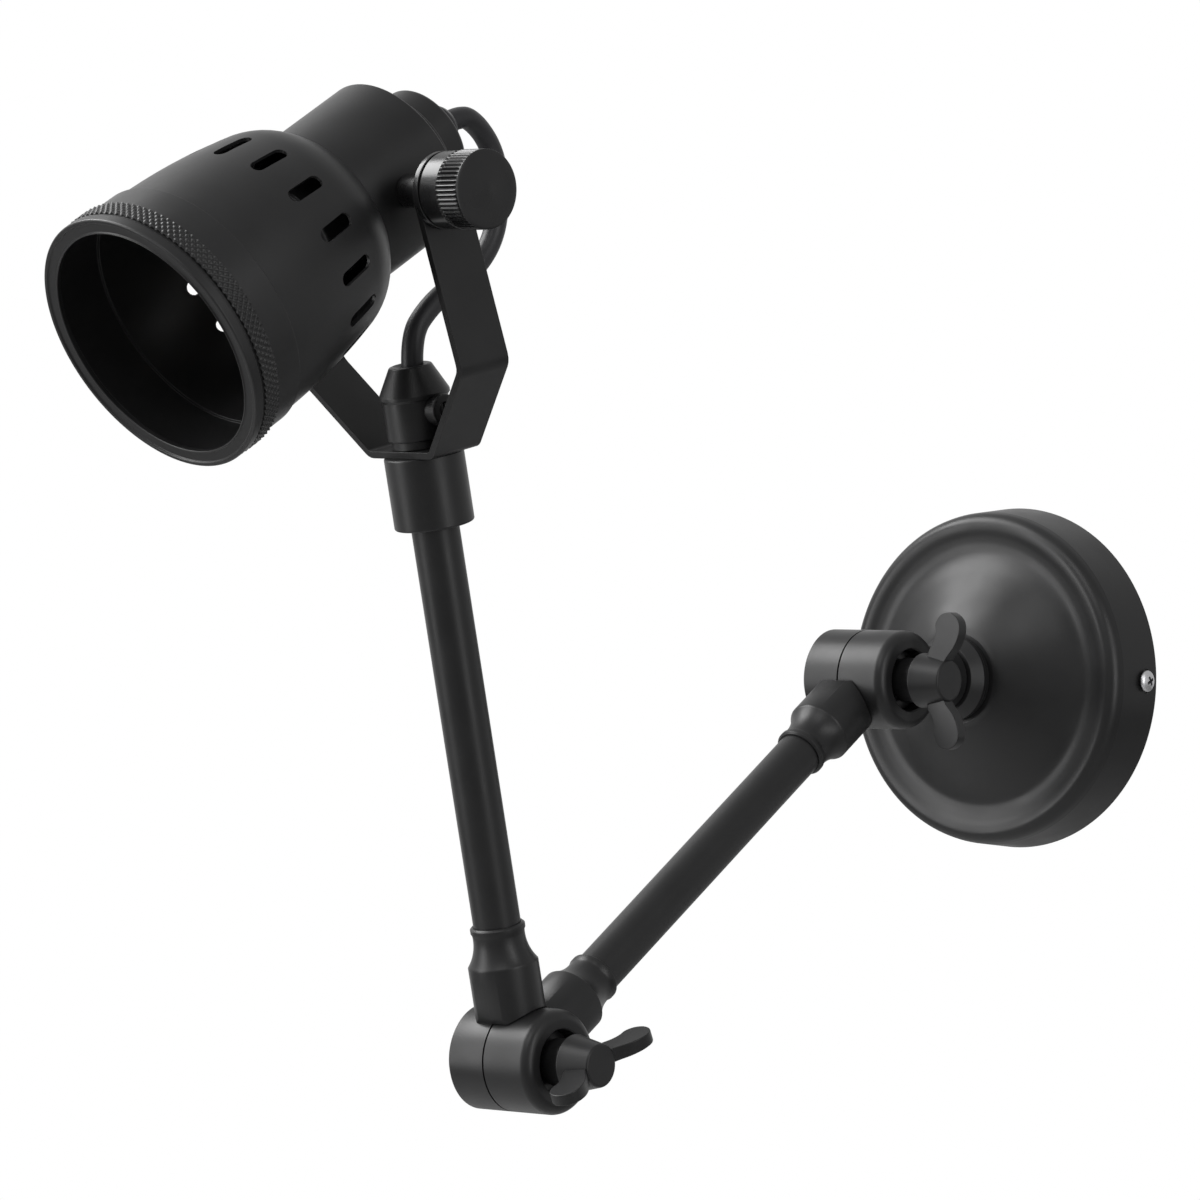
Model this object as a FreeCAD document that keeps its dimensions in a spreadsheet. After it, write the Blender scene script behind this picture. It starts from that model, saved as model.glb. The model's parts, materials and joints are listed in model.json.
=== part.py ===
import FreeCAD, Part
import Sketcher
import math
import os
import re

from FreeCAD import Placement, Rotation, Vector

# Articulating wall lamp: a round canopy carries two tube arms on wing-nut knuckles, and a yoke on
# the upper arm holds a spot head between two knurled thumb knobs.
# Row frame: origin at the middle of the canopy's back on the wall, +Z up, the lamp along -Y.
# Lengths in millimetres, angles in degrees.

SIZES = {
    # canopy
    "canopy_radius": 60.0, "canopy_wall": 1.0, "canopy_taper": 1.7, "canopy_side_height": 17.2,
    "crest_inset": 6.8, "crest_rise": 5.2, "valley_outer_inset": 9.4, "valley_outer_rise": 4.0,
    "valley_inner_inset": 16.2, "valley_inner_rise": 3.7, "rim_round": 5.3,
    "dome_flat_radius": 16.5, "dome_rise": 17.4, "dome_sag": 1.25, "valley_sag": 1.2, "rim_sag": 1.3,
    "canopy_screw_height": 6.0, "canopy_screw_radius": 2.0, "screw_head_radius": 3.8,
    "screw_head_edge": 0.7, "screw_head_height": 2.0, "screw_head_round": 5.0, "screw_seat_inset": 0.15,
    # bracket behind the canopy
    "bracket_width": 22.0, "bracket_plate": 1.6, "bracket_gap": 0.3, "bracket_ear_height": 12.0,
    "slot_spacing": 60.0, "slot_length": 14.0, "slot_width": 4.6, "bracket_hole_radius": 9.0,
    "terminal_length": 24.0, "terminal_width": 12.0, "terminal_height": 13.0, "terminal_offset": 16.0,
    "earth_screw_radius": 2.0, "earth_head_radius": 3.6, "thread_gap": 0.04,
    # stem between canopy and shoulder
    "boss_radius": 15.2, "boss_height": 9.0, "boss_edge": 2.6, "stem_length": 42.2, "stem_edge": 1.2,
    "nipple_radius": 5.0, "nipple_bore": 3.8, "nipple_seat": 8.0, "nipple_end_gap": 0.5,
    "nut_half_width": 7.5, "nut_thickness": 3.6, "washer_thickness": 1.4, "washer_radius": 9.0,
    # knuckles
    "knuckle_radius": 16.9, "knuckle_half_length": 15.3, "knuckle_gap": 0.6, "knuckle_face": 18.9,
    "recess_radius": 10.5, "recess_floor": 12.6, "face_chamfer": 0.5,
    "chamber_depth": 9.0, "chamber_radius": 12.6, "hub_radius": 6.6, "friction_half": 0.7,
    "bolt_radius": 3.0, "bolt_clearance": 0.1, "bolt_head_height": 3.0, "bolt_head_half_width": 5.0,
    "bolt_head_sink": 0.4, "bolt_recess_radius": 7.2, "edge_round": 0.9,
    "socket_wall": 3.7, "socket_straight": 31.8, "socket_neck": 42.2, "socket_neck_wall": 0.8,
    "bead_wall": 1.2, "bead_length": 2.6, "tube_seat": 23.0, "wire_hole_radius": 3.6,
    "flare_radius": 15.0, "relief_angle": 33.0, "turn_clearance": 0.35, "fit_clearance": 0.05,
    # wing nuts
    "wing_neck_radius": 7.6, "wing_hub_start": 23.9, "wing_hub_end": 35.3, "wing_hub_big": 9.5,
    "wing_hub_small": 6.7, "wing_tip_reach": 23.2, "wing_tip_radius": 5.5, "wing_tip_offset": 36.6,
    "wing_root_start": 26.2, "wing_root_end": 34.6, "wing_thickness": 4.4,
    "wing_edge": 0.4, "wing_cap": 2.5, "wing_root_depth": 1.5,
    "spring_thickness": 1.9, "spring_radius": 6.2,
    "shoulder_wing_turn": 0.0, "elbow_wing_turn": -65.0,
    # arms
    "tube_radius": 7.65, "tube_wall": 1.2, "lower_arm_length": 215.1, "upper_arm_length": 198.1,
    "lower_arm_dip": 34.0, "upper_arm_rise": 76.1, "collar_wall": 5.05, "collar_length": 23.1,
    "collar_edge": 0.6, "collar_cap": 6.0,
    # yoke
    "yoke_turn": 6.3, "yoke_lean": 8.9, "yoke_width": 19.9, "yoke_strap": 2.3, "yoke_base_half": 13.9,
    "yoke_bend_half": 38.0, "yoke_bend_height": 27.3, "yoke_top_half": 39.85, "pivot_height": 83.8,
    "yoke_bend_radius": 5.0, "yoke_base_radius": 2.0,
    # cord grip on the yoke
    "grip_neck_radius": 9.4, "grip_neck_height": 2.8, "grip_radius": 10.5, "grip_height": 16.0,
    "grip_seat": 7.5,
    "grip_skirt_radius": 11.2, "grip_top": 25.6, "grip_mouth_radius": 6.3, "grip_boss_radius": 5.0,
    "grip_boss_reach": 13.6, "grip_boss_height": 11.6, "cord_radius": 3.5, "cord_clearance": 0.3,
    "grip_screw_radius": 2.2,
    # head
    "head_tilt": 9.9, "barrel_radius": 27.4, "barrel_wall": 1.5, "barrel_back": 20.0, "barrel_front": 16.5,
    "barrel_edge": 1.0,
    "shade_wall": 1.2, "shade_back": 14.7, "shade_back_step": 2.1, "shade_shoulder": 29.0,
    "shade_shoulder_step": 9.1, "shade_front_radius": 41.9, "shade_band_length": 17.6,
    "shade_end": 88.6, "shade_shoulder_curve": 24.0, "step_depth": 0.45, "step_length": 0.3,
    "shade_back_edge": 0.8, "shade_side_sag": 0.95, "shade_shoulder_sag": 1.0,
    "ring_overlap": 7.0, "ring_knurl_length": 6.4, "ring_length": 10.7, "ring_wall": 1.0,
    "ring_knurl_wall": 1.2, "ring_lip_inset": 4.2, "ring_lip": 2.0, "ring_edge": 0.4,
    "slot_count": 16, "vent_length": 13.5, "vent_width": 4.2, "vent_middle": 38.1, "vent_turn": 13.5,
    "cap_radius": 19.6, "cap_length": 6.5, "cap_step_radius": 16.8, "cap_step_length": 9.5, "cap_wall": 1.5,
    "bushing_radius": 7.0, "bushing_length": 9.0, "holder_radius": 19.0, "holder_bore": 13.3,
    "holder_depth": 27.0, "holder_length": 38.0, "holder_neck_radius": 8.2,
    "stud_radius": 5.2, "stud_thread_radius": 3.0, "stud_hole_clearance": 0.15, "stud_root": 3.0,
    "knob_radius": 12.2, "knob_length": 21.2, "knob_gap": 0.45, "knob_flange": 2.2, "knob_groove": 0.9,
    "knob_smooth": 7.6, "knob_cap": 3.0,
    "knob_rib_depth": 0.6, "knob_ribs": 52, "knob_dome": 0.9,
}

doc = FreeCAD.newDocument("wall_lamp")
sheet = doc.addObject("Spreadsheet::Sheet", "Sizes")
for row, (alias, size) in enumerate(SIZES.items(), start=1):
    sheet.set("A%d" % row, alias)
    sheet.set("B%d" % row, str(size))
    sheet.setAlias("B%d" % row, alias)
doc.recompute()

NODES = []


def cells(text):
    """Expression text with every size's name turned into its cell."""
    return re.sub(r"[a-z]+(?:_[a-z]+)+", lambda word: "Sizes." + word.group(), str(text))


def number(text):
    """Value of an expression of sizes."""
    found = sheet.evalExpression(cells(text))
    return float(getattr(found, "Value", found))


def node(shape_owner, label, place=None):
    """Name a finished piece and stand it in the row frame."""
    shape_owner.Label = label
    if place is not None:
        shape_owner.Placement = place
    NODES.append(shape_owner)
    return shape_owner


def body(name):
    return doc.addObject("PartDesign::Body", name + "_body")


def origin_feature(owner, role):
    return [feature for feature in owner.Origin.OriginFeatures if feature.Role == role][0]


def sketch_on(owner, role, lift="0", tilt=None, tilt_axis=Vector(1, 0, 0)):
    """Empty sketch on one of the body's planes, lifted along its normal and tilted if asked."""
    sketch = owner.newObject("Sketcher::SketchObject", owner.Name + "_sketch")
    sketch.AttachmentSupport = [(origin_feature(owner, role), "")]
    sketch.MapMode = "FlatFace"
    turn = Rotation(tilt_axis, number(tilt)) if tilt else Rotation()
    sketch.AttachmentOffset = Placement(Vector(0, 0, number(lift)), turn)
    sketch.setExpression("AttachmentOffset.Base.z", cells(lift))
    return sketch


def bound(sketch, kind, places, expression):
    """Dimension of the sketch that follows an expression of sizes."""
    index = sketch.addConstraint(Sketcher.Constraint(kind, *places, number(expression)))
    sketch.setExpression("Constraints[%d]" % index, cells(expression))


def draw(sketch, corners):
    """Closed outline. A corner is (x, y), or (x, y, radius) where an arc leaves it for the next
    corner; the radius "half" makes it a half circle on an upright or level chord, and a radius
    written with a leading minus bulges to the right of the way drawn."""
    spots = [Vector(number(corner[0]), number(corner[1]), 0) for corner in corners]
    first_edge = sketch.GeometryCount
    ends = []
    for index, corner in enumerate(corners):
        start, end = spots[index], spots[(index + 1) % len(spots)]
        if len(corner) == 2:
            sketch.addGeometry(Part.LineSegment(start, end))
            ends.append((1, 2))
            continue
        right_hand = corner[2].startswith("-")
        chord = end - start
        half_turn = corner[2].lstrip("-") == "half"
        radius = chord.Length / 2 if half_turn else number(corner[2].lstrip("-"))
        left = Vector(-chord.y, chord.x, 0).normalize()
        rise = math.sqrt(max(radius ** 2 - (chord.Length / 2) ** 2, 0.0))
        middle = (start + end) * 0.5 + left * (rise if right_hand else -rise)
        tail, head = (start, end) if right_hand else (end, start)
        angles = [math.atan2(spot.y - middle.y, spot.x - middle.x) for spot in (tail, head)]
        sketch.addGeometry(Part.ArcOfCircle(Part.Circle(middle, Vector(0, 0, 1), radius), *angles))
        ends.append((1, 2) if right_hand else (2, 1))
    for index, corner in enumerate(corners):
        here, after = first_edge + index, first_edge + (index + 1) % len(corners)
        sketch.addConstraint(Sketcher.Constraint(
            "Coincident", here, ends[index][1], after, ends[(index + 1) % len(corners)][0]))
    for index, corner in enumerate(corners):
        here = first_edge + index
        bound(sketch, "DistanceX", (-1, 1, here, ends[index][0]), corner[0])
        bound(sketch, "DistanceY", (-1, 1, here, ends[index][0]), corner[1])
        if len(corner) == 2:
            continue
        if corner[2].lstrip("-") != "half":
            bound(sketch, "Radius", (here,), corner[2].lstrip("-"))
        elif abs(spots[index].x - spots[(index + 1) % len(spots)].x) < 1e-9:
            bound(sketch, "DistanceX", (-1, 1, here, 3), corner[0])
        else:
            bound(sketch, "DistanceY", (-1, 1, here, 3), corner[1])


def bowed(start, end, sag):
    """Corner midway between two others, standing off their chord to the right by `sag`."""
    run, climb = ["(%s) - (%s)" % (after, before) for before, after in zip(start, end)]
    length = "sqrt((%s) ^ 2 + (%s) ^ 2)" % (run, climb)
    return ("((%s) + (%s)) / 2 + %s * (%s) / %s" % (start[0], end[0], sag, climb, length),
            "((%s) + (%s)) / 2 - %s * (%s) / %s" % (start[1], end[1], sag, run, length))


def circle(sketch, x, y, radius):
    index = sketch.addGeometry(Part.Circle(Vector(number(x), number(y), 0), Vector(0, 0, 1), number(radius)))
    bound(sketch, "DistanceX", (-1, 1, index, 3), x)
    bound(sketch, "DistanceY", (-1, 1, index, 3), y)
    bound(sketch, "Radius", (index,), radius)


def slot(sketch, x, y, length, width, upright=False):
    """Rounded slot along the sketch's x, or its y if upright, with its middle at (x, y)."""
    side = "(%s) / 2" % width
    reach = "((%s) - (%s)) / 2" % (length, width)
    if upright:
        low, high = "%s - %s" % (y, reach), "%s + %s" % (y, reach)
        left, right = "%s - %s" % (x, side), "%s + %s" % (x, side)
        draw(sketch, [(right, low), (right, high, "-half"), (left, high), (left, low, "-half")])
        return
    left, right = "%s - %s" % (x, reach), "%s + %s" % (x, reach)
    low, high = "%s - %s" % (y, side), "%s + %s" % (y, side)
    draw(sketch, [(left, low), (right, low, "-half"), (right, high), (left, high, "-half")])


def spun(owner, corners, axis="V_Axis"):
    """Turned form: the outline spun once round the sketch's axis."""
    sketch = sketch_on(owner, "XZ_Plane")
    draw(sketch, corners)
    doc.recompute()
    turned = owner.newObject("PartDesign::Revolution", owner.Name + "_turned")
    turned.Profile = sketch
    turned.ReferenceAxis = (sketch, [axis])
    turned.Angle = 360
    return turned


def padded(owner, sketch, length, symmetric=False, backwards=False):
    pad = owner.newObject("PartDesign::Pad", owner.Name + "_pad")
    pad.Profile = sketch
    pad.setExpression("Length", cells(length))
    pad.SideType = "Symmetric" if symmetric else "One side"
    pad.Reversed = backwards
    return pad


def pocketed(owner, sketch, length, symmetric=False, backwards=False):
    """Cut whose depth is checked by volume, because a cut that points away takes nothing."""
    doc.recompute()
    before = owner.Shape.Volume
    pocket = owner.newObject("PartDesign::Pocket", owner.Name + "_pocket")
    pocket.Profile = sketch
    pocket.setExpression("Length", cells(length))
    pocket.SideType = "Symmetric" if symmetric else "One side"
    pocket.Reversed = backwards
    doc.recompute()
    if owner.Shape.Volume > before - 1e-3:
        raise RuntimeError("a cut in %s takes nothing" % owner.Name)
    return pocket


def simple_turned(name, label, place, corners):
    """A piece that is one turned form about its own Z."""
    owner = body(name)
    spun(owner, corners)
    return node(owner, label, place)


def disc(name, label, place, low, high, bore, radius):
    """A flat ring from height `low` to height `high`."""
    return simple_turned(name, label, place, [(bore, low), (radius, low), (radius, high), (bore, high)])


def hexagon(sketch, half_width):
    corner, step = "(%s) / cos(30)" % half_width, "(%s) * tan(30)" % half_width
    draw(sketch, [(corner, "0"), (step, half_width), ("-" + step, half_width), ("-" + corner, "0"),
                  ("-" + step, "-" + half_width), (step, "-" + half_width)])


def hex_nut(name, label, place, low, bore):
    """Hexagon nut lying on height `low`."""
    owner = body(name)
    sketch = sketch_on(owner, "XY_Plane", lift=low)
    hexagon(sketch, "nut_half_width")
    circle(sketch, "0", "0", bore)
    padded(owner, sketch, "nut_thickness")
    return node(owner, label, place)


def frame_at(spot, x_axis, z_axis):
    """Placement with its own X and Z along the two directions."""
    z_axis = Vector(z_axis).normalize()
    y_axis = z_axis.cross(x_axis).normalize()
    return Placement(spot, Rotation(y_axis.cross(z_axis), y_axis, z_axis, "ZXY"))


# ---------------------------------------------------------------- sizes that several pieces share
CANOPY_FRONT = "(canopy_radius - canopy_taper)"
DOME_TOP = "(canopy_side_height + dome_rise)"
BOSS_TOP = DOME_TOP + " + boss_height"
NIPPLE_HOLE = "nipple_radius + fit_clearance"
BOLT_HOLE = "bolt_radius + bolt_clearance"
BOLT_HEAD = "-(knuckle_half_length - bolt_head_sink)"
SOCKET_ROOT = "chamber_radius + 0.2"
SOCKET_RADIUS = "(tube_radius + socket_wall)"
TUBE_BORE = "tube_radius + fit_clearance"
CORD_HOLE = "cord_radius + cord_clearance"
BUSHING_NECK = "bushing_radius - 1.2"
KNOB_BASE = "(yoke_top_half + yoke_strap + knob_gap)"
KNOB_END = "(yoke_top_half + yoke_strap + knob_gap + knob_length)"

# ---------------------------------------------------------------- joint places and directions
X, Y, Z = Vector(1, 0, 0), Vector(0, 1, 0), Vector(0, 0, 1)
dip, rise = math.radians(number("lower_arm_dip")), math.radians(number("upper_arm_rise"))
lower_way = Vector(0, -math.cos(dip), -math.sin(dip))
upper_way = Vector(0, -math.cos(rise), math.sin(rise))
shoulder = Vector(0, -number(BOSS_TOP + " + stem_length"), 0)
elbow = shoulder + lower_way * number("lower_arm_length")
swivel = elbow + upper_way * (number("upper_arm_length") + number("yoke_strap"))

yoke_turn = math.radians(number("yoke_turn"))
yoke_front = upper_way.cross(X) * -1
yoke_side = X * math.cos(yoke_turn) + yoke_front * math.sin(yoke_turn)
yoke_front = yoke_front * math.cos(yoke_turn) - X * math.sin(yoke_turn)
lean = math.radians(number("yoke_lean"))
leg_way = upper_way * math.cos(lean) + yoke_front * math.sin(lean)
pivot = swivel + leg_way * number("pivot_height")
tilt = math.radians(number("head_tilt"))
level_way = yoke_front * math.cos(lean) - upper_way * math.sin(lean)
head_way = level_way * math.cos(tilt) - leg_way * math.sin(tilt)

WALL = frame_at(Vector(0, 0, 0), X, Y * -1)
STEM = frame_at(shoulder, X, Y)
LOWER = frame_at(shoulder, X, lower_way)
LOWER_BACK = frame_at(elbow, X, lower_way * -1)
UPPER = frame_at(elbow, X, upper_way)
YOKE = frame_at(swivel, yoke_side, upper_way)
HEAD = frame_at(pivot, yoke_side, head_way)
HEAD_VENTS = HEAD * Placement(Vector(), Rotation(Z, number("vent_turn")))
SHOULDER_AXIS = frame_at(shoulder, Z, X)
ELBOW_AXIS = frame_at(elbow, Z, X)
SHOULDER_WING = SHOULDER_AXIS * Placement(Vector(), Rotation(Z, number("shoulder_wing_turn")))
ELBOW_WING = ELBOW_AXIS * Placement(Vector(), Rotation(Z, number("elbow_wing_turn")))
RIGHT_PIVOT = frame_at(pivot, head_way, yoke_side)
LEFT_PIVOT = frame_at(pivot, head_way, yoke_side * -1)


# ---------------------------------------------------------------- canopy and what it covers
BRACKET_REACH = ("(sqrt((%s - canopy_wall - bracket_gap) ^ 2 - (bracket_width / 2) ^ 2))"
                 % CANOPY_FRONT)


def canopy():
    """Pressed steel canopy: rounded rim, shallow valley and a broad dome, open at the back."""
    owner = body("canopy")
    crest = ("canopy_radius - crest_inset", "canopy_side_height + crest_rise")
    slope = ("canopy_radius - valley_outer_inset", "canopy_side_height + valley_outer_rise")
    valley = ("canopy_radius - valley_inner_inset", "canopy_side_height + valley_inner_rise")
    dome = ("dome_flat_radius", DOME_TOP)
    dome_under = ("dome_flat_radius - 0.3 * canopy_wall", DOME_TOP + " - canopy_wall")
    valley_under = (valley[0] + " - 0.6 * canopy_wall", valley[1] + " - 0.8 * canopy_wall")
    slope_under = (slope[0] + " + 0.5 * canopy_wall", slope[1] + " - 0.85 * canopy_wall")
    crest_under = (crest[0], crest[1] + " - canopy_wall")
    side_under = (CANOPY_FRONT + " - canopy_wall", "canopy_side_height")
    spun(owner, [
        ("canopy_radius", "0"), (CANOPY_FRONT, "canopy_side_height", "-rim_round"), crest,
        (*slope, "rim_round"), valley, bowed(valley, dome, "dome_sag"), dome,
        (NIPPLE_HOLE, DOME_TOP), (NIPPLE_HOLE, DOME_TOP + " - canopy_wall"),
        dome_under, bowed(dome_under, valley_under, "-dome_sag"), valley_under,
        bowed(valley_under, slope_under, "valley_sag"), slope_under,
        crest_under, bowed(crest_under, side_under, "-rim_sag"), side_under,
        ("canopy_radius - canopy_wall", "0")])
    holes = sketch_on(owner, "YZ_Plane")
    circle(holes, "0", "canopy_screw_height", "canopy_screw_radius + thread_gap")
    pocketed(owner, holes, "2 * canopy_radius + 4", symmetric=True)
    node(owner, "canopy", WALL)


def wall_bracket():
    """Slotted steel bar on the wall, its two ears bent out for the canopy's side screws."""
    owner = body("bracket")
    reach, inner = BRACKET_REACH, BRACKET_REACH + " - bracket_plate"
    top = "bracket_ear_height"
    profile = sketch_on(owner, "XZ_Plane")
    draw(profile, [
        ("-(%s)" % reach, "0"), (reach, "0"), (reach, top), (inner, top), (inner, "bracket_plate"),
        ("-(%s)" % inner, "bracket_plate"), ("-(%s)" % inner, top), ("-(%s)" % reach, top)])
    padded(owner, profile, "bracket_width", symmetric=True)
    holes = sketch_on(owner, "XY_Plane")
    slot(holes, "slot_spacing / 2", "0", "slot_length", "slot_width")
    slot(holes, "-slot_spacing / 2", "0", "slot_length", "slot_width")
    circle(holes, "0", "0", "bracket_hole_radius")
    circle(holes, "-terminal_offset", "0", "earth_screw_radius + thread_gap")
    pocketed(owner, holes, "4 * bracket_plate", symmetric=True)
    taps = sketch_on(owner, "YZ_Plane")
    circle(taps, "0", "canopy_screw_height", "canopy_screw_radius + thread_gap")
    pocketed(owner, taps, "2 * canopy_radius", symmetric=True)
    node(owner, "wall_bracket", WALL)


def canopy_screw(name, label, way):
    """Pan-head screw through the canopy's side into the bracket's ear."""
    seat, tip = "canopy_radius - screw_seat_inset", BRACKET_REACH + " - bracket_plate - 2"
    top = seat + " + screw_head_height"
    place = frame_at(Vector(0, -number("canopy_screw_height"), 0), Y, way)
    simple_turned(name, label, place, [
        ("0", tip), ("canopy_screw_radius", tip), ("canopy_screw_radius", seat),
        ("screw_head_radius", seat), ("screw_head_radius", seat + " + screw_head_edge", "-screw_head_round"),
        ("1.2", top), ("0", top)])


def terminal_block():
    """Plastic terminal block on the bracket, between the wire hole and a slot, with three ways."""
    owner = body("terminal")
    sketch = sketch_on(owner, "XY_Plane", lift="bracket_plate")
    left, right = "terminal_offset - terminal_width / 2", "terminal_offset + terminal_width / 2"
    low, high = "-terminal_length / 2", "terminal_length / 2"
    draw(sketch, [(left, low), (right, low), (right, high), (left, high)])
    padded(owner, sketch, "terminal_height")
    ways = sketch_on(owner, "YZ_Plane", lift="terminal_offset")
    for step in ("-terminal_length / 3", "0", "terminal_length / 3"):
        circle(ways, step, "bracket_plate + terminal_height * 0.4", "terminal_length / 12")
    pocketed(owner, ways, "terminal_width + 2", symmetric=True)
    node(owner, "terminal_block", WALL)


def earth_screw():
    """Earth screw in its own tapped hole of the bracket."""
    place = frame_at(Vector(-number("terminal_offset"), 0, 0), X, Y * -1)
    simple_turned("earth", "earth_screw", place, [
        ("0", "0.2"), ("earth_screw_radius", "0.2"), ("earth_screw_radius", "bracket_plate + 0.02"),
        ("earth_head_radius", "bracket_plate + 0.02"), ("earth_head_radius", "bracket_plate + 1.4", "-4"),
        ("earth_head_radius - 1.8", "bracket_plate + 2.6"), ("0", "bracket_plate + 2.6")])


def stem_fixings():
    """Boss on the dome, and the hollow thread, washer and lock nut that hold the stem to it."""
    simple_turned("boss", "canopy_boss", WALL, [
        (NIPPLE_HOLE, DOME_TOP), ("boss_radius - boss_edge / 3", DOME_TOP),
        ("boss_radius", DOME_TOP + " + boss_edge / 3"),
        ("boss_radius", BOSS_TOP + " - boss_edge", "-boss_edge"),
        ("boss_radius - boss_edge", BOSS_TOP), (NIPPLE_HOLE, BOSS_TOP)])
    under = DOME_TOP + " - canopy_wall"
    disc("stem_thread", "stem_nipple", WALL, DOME_TOP + " - 10",
         BOSS_TOP + " + nipple_seat - nipple_end_gap", "nipple_bore", "nipple_radius")
    disc("stem_ring", "stem_washer", WALL, under + " - washer_thickness", under,
         NIPPLE_HOLE, "washer_radius")
    hex_nut("stem_nut", "stem_lock_nut", WALL,
            under + " - washer_thickness - nut_thickness", NIPPLE_HOLE)


# ---------------------------------------------------------------- knuckles
SHOULDER_ROUND = "(knuckle_face - knuckle_half_length)"


def near_barrel():
    """Section of the half with the nut recess, from the split plane out along X."""
    return [
        ("friction_half", BOLT_HOLE), ("friction_half", "hub_radius"), ("chamber_depth", "hub_radius"),
        ("chamber_depth", "chamber_radius"), ("knuckle_gap / 2", "chamber_radius"),
        ("knuckle_gap / 2", "knuckle_radius"), ("knuckle_half_length", "knuckle_radius", SHOULDER_ROUND),
        ("knuckle_face", "knuckle_radius - " + SHOULDER_ROUND),
        ("knuckle_face", "recess_radius + face_chamfer"),
        ("knuckle_face - face_chamfer", "recess_radius"), ("recess_floor", "recess_radius"),
        ("recess_floor", BOLT_HOLE)]


def far_barrel():
    """Section of the plain half, from the split plane out along -X."""
    floor = "-(knuckle_half_length - bolt_head_height - bolt_head_sink)"
    return [
        ("-friction_half", BOLT_HOLE), ("-friction_half", "hub_radius"), ("-chamber_depth", "hub_radius"),
        ("-chamber_depth", "chamber_radius"), ("-knuckle_gap / 2", "chamber_radius"),
        ("-knuckle_gap / 2", "knuckle_radius"),
        ("-(knuckle_half_length - edge_round)", "knuckle_radius"),
        ("-knuckle_half_length", "knuckle_radius - edge_round"),
        ("-knuckle_half_length", "bolt_recess_radius"),
        (floor, "bolt_recess_radius"), (floor, BOLT_HOLE)]


def arm_socket():
    """Section of a tube socket: straight skirt, hollow flare, and a bead round its mouth."""
    mouth = "socket_neck + bead_length"
    return [
        ("0", SOCKET_ROOT), (SOCKET_RADIUS, SOCKET_ROOT), (SOCKET_RADIUS, "socket_straight", "flare_radius"),
        ("tube_radius + socket_neck_wall", "socket_neck"),
        ("tube_radius + bead_wall", "socket_neck + bead_length / 4"),
        ("tube_radius + bead_wall", mouth + " - bead_length / 4"),
        ("tube_radius + bead_wall - bead_length / 4", mouth), (TUBE_BORE, mouth),
        (TUBE_BORE, "tube_seat"), ("0", "tube_seat")]


def stem_socket():
    """Section of the short stem that stands on the canopy's boss."""
    return [
        ("0", SOCKET_ROOT), (SOCKET_RADIUS, SOCKET_ROOT), (SOCKET_RADIUS, "stem_length - stem_edge"),
        (SOCKET_RADIUS + " - stem_edge", "stem_length"), (NIPPLE_HOLE, "stem_length"),
        (NIPPLE_HOLE, "stem_length - nipple_seat"), ("0", "stem_length - nipple_seat")]


def knuckle(name, label, place, socket, wire_end, near):
    """Half barrel and the socket that grows from it. The socket straddles the split: it clears the
    other half by the turning clearance, and its two flanks are relieved so that two folded arms
    come close before they meet. The wire's hole runs from the chamber to `wire_end`."""
    owner = body(name)
    spun(owner, socket)
    other = sketch_on(owner, "YZ_Plane", lift="knuckle_gap / 2" if near else "-knuckle_gap / 2")
    circle(other, "0", "0", "knuckle_radius + turn_clearance")
    pocketed(owner, other, "2 * " + SOCKET_RADIUS, backwards=not near)
    flanks = sketch_on(owner, "YZ_Plane")
    reach = "3 * knuckle_radius"
    draw(flanks, [("0", "0"), (reach, "0"), (reach, reach + " / tan(relief_angle)")])
    draw(flanks, [("0", "0.001"), ("-" + reach, reach + " / tan(relief_angle)"), ("-" + reach, "0.001")])
    pocketed(owner, flanks, "4 * " + SOCKET_RADIUS, symmetric=True)
    spun(owner, near_barrel() if near else far_barrel(), axis="H_Axis")
    wire = sketch_on(owner, "XY_Plane", lift="chamber_depth")
    circle(wire, "0", "0", "wire_hole_radius")
    pocketed(owner, wire, wire_end + " - chamber_depth - 0.01", backwards=True)
    node(owner, label, place)


def knuckle_fixings(side, place):
    """Through bolt, friction washer, flat washer and split spring washer of one knuckle."""
    owner = body(side + "_bolt")
    head = sketch_on(owner, "XY_Plane", lift=BOLT_HEAD)
    hexagon(head, "bolt_head_half_width")
    padded(owner, head, "bolt_head_height")
    shank = sketch_on(owner, "XY_Plane", lift=BOLT_HEAD)
    circle(shank, "0", "0", "bolt_radius")
    padded(owner, shank, "knuckle_half_length - bolt_head_sink + wing_hub_end - wing_cap - 1.5")
    node(owner, side + "_bolt", place)
    disc(side + "_friction", side + "_friction_washer", place, "-friction_half", "friction_half",
         BOLT_HOLE, "hub_radius - 0.2")
    disc(side + "_flat", side + "_flat_washer", place, "recess_floor", "recess_floor + washer_thickness",
         BOLT_HOLE, "recess_radius - 0.6")
    owner = body(side + "_spring")
    low, high = "recess_floor + washer_thickness", "recess_floor + washer_thickness + spring_thickness"
    spun(owner, [(BOLT_HOLE, low), ("spring_radius", low), ("spring_radius", high), (BOLT_HOLE, high)])
    split = sketch_on(owner, "YZ_Plane")
    draw(split, [("-0.6", "0"), ("0.2", "0"), ("0.6", "3 * recess_floor"), ("-0.2", "3 * recess_floor")])
    pocketed(owner, split, "2 * spring_radius", backwards=True)
    node(owner, side + "_spring_washer", place)


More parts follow.
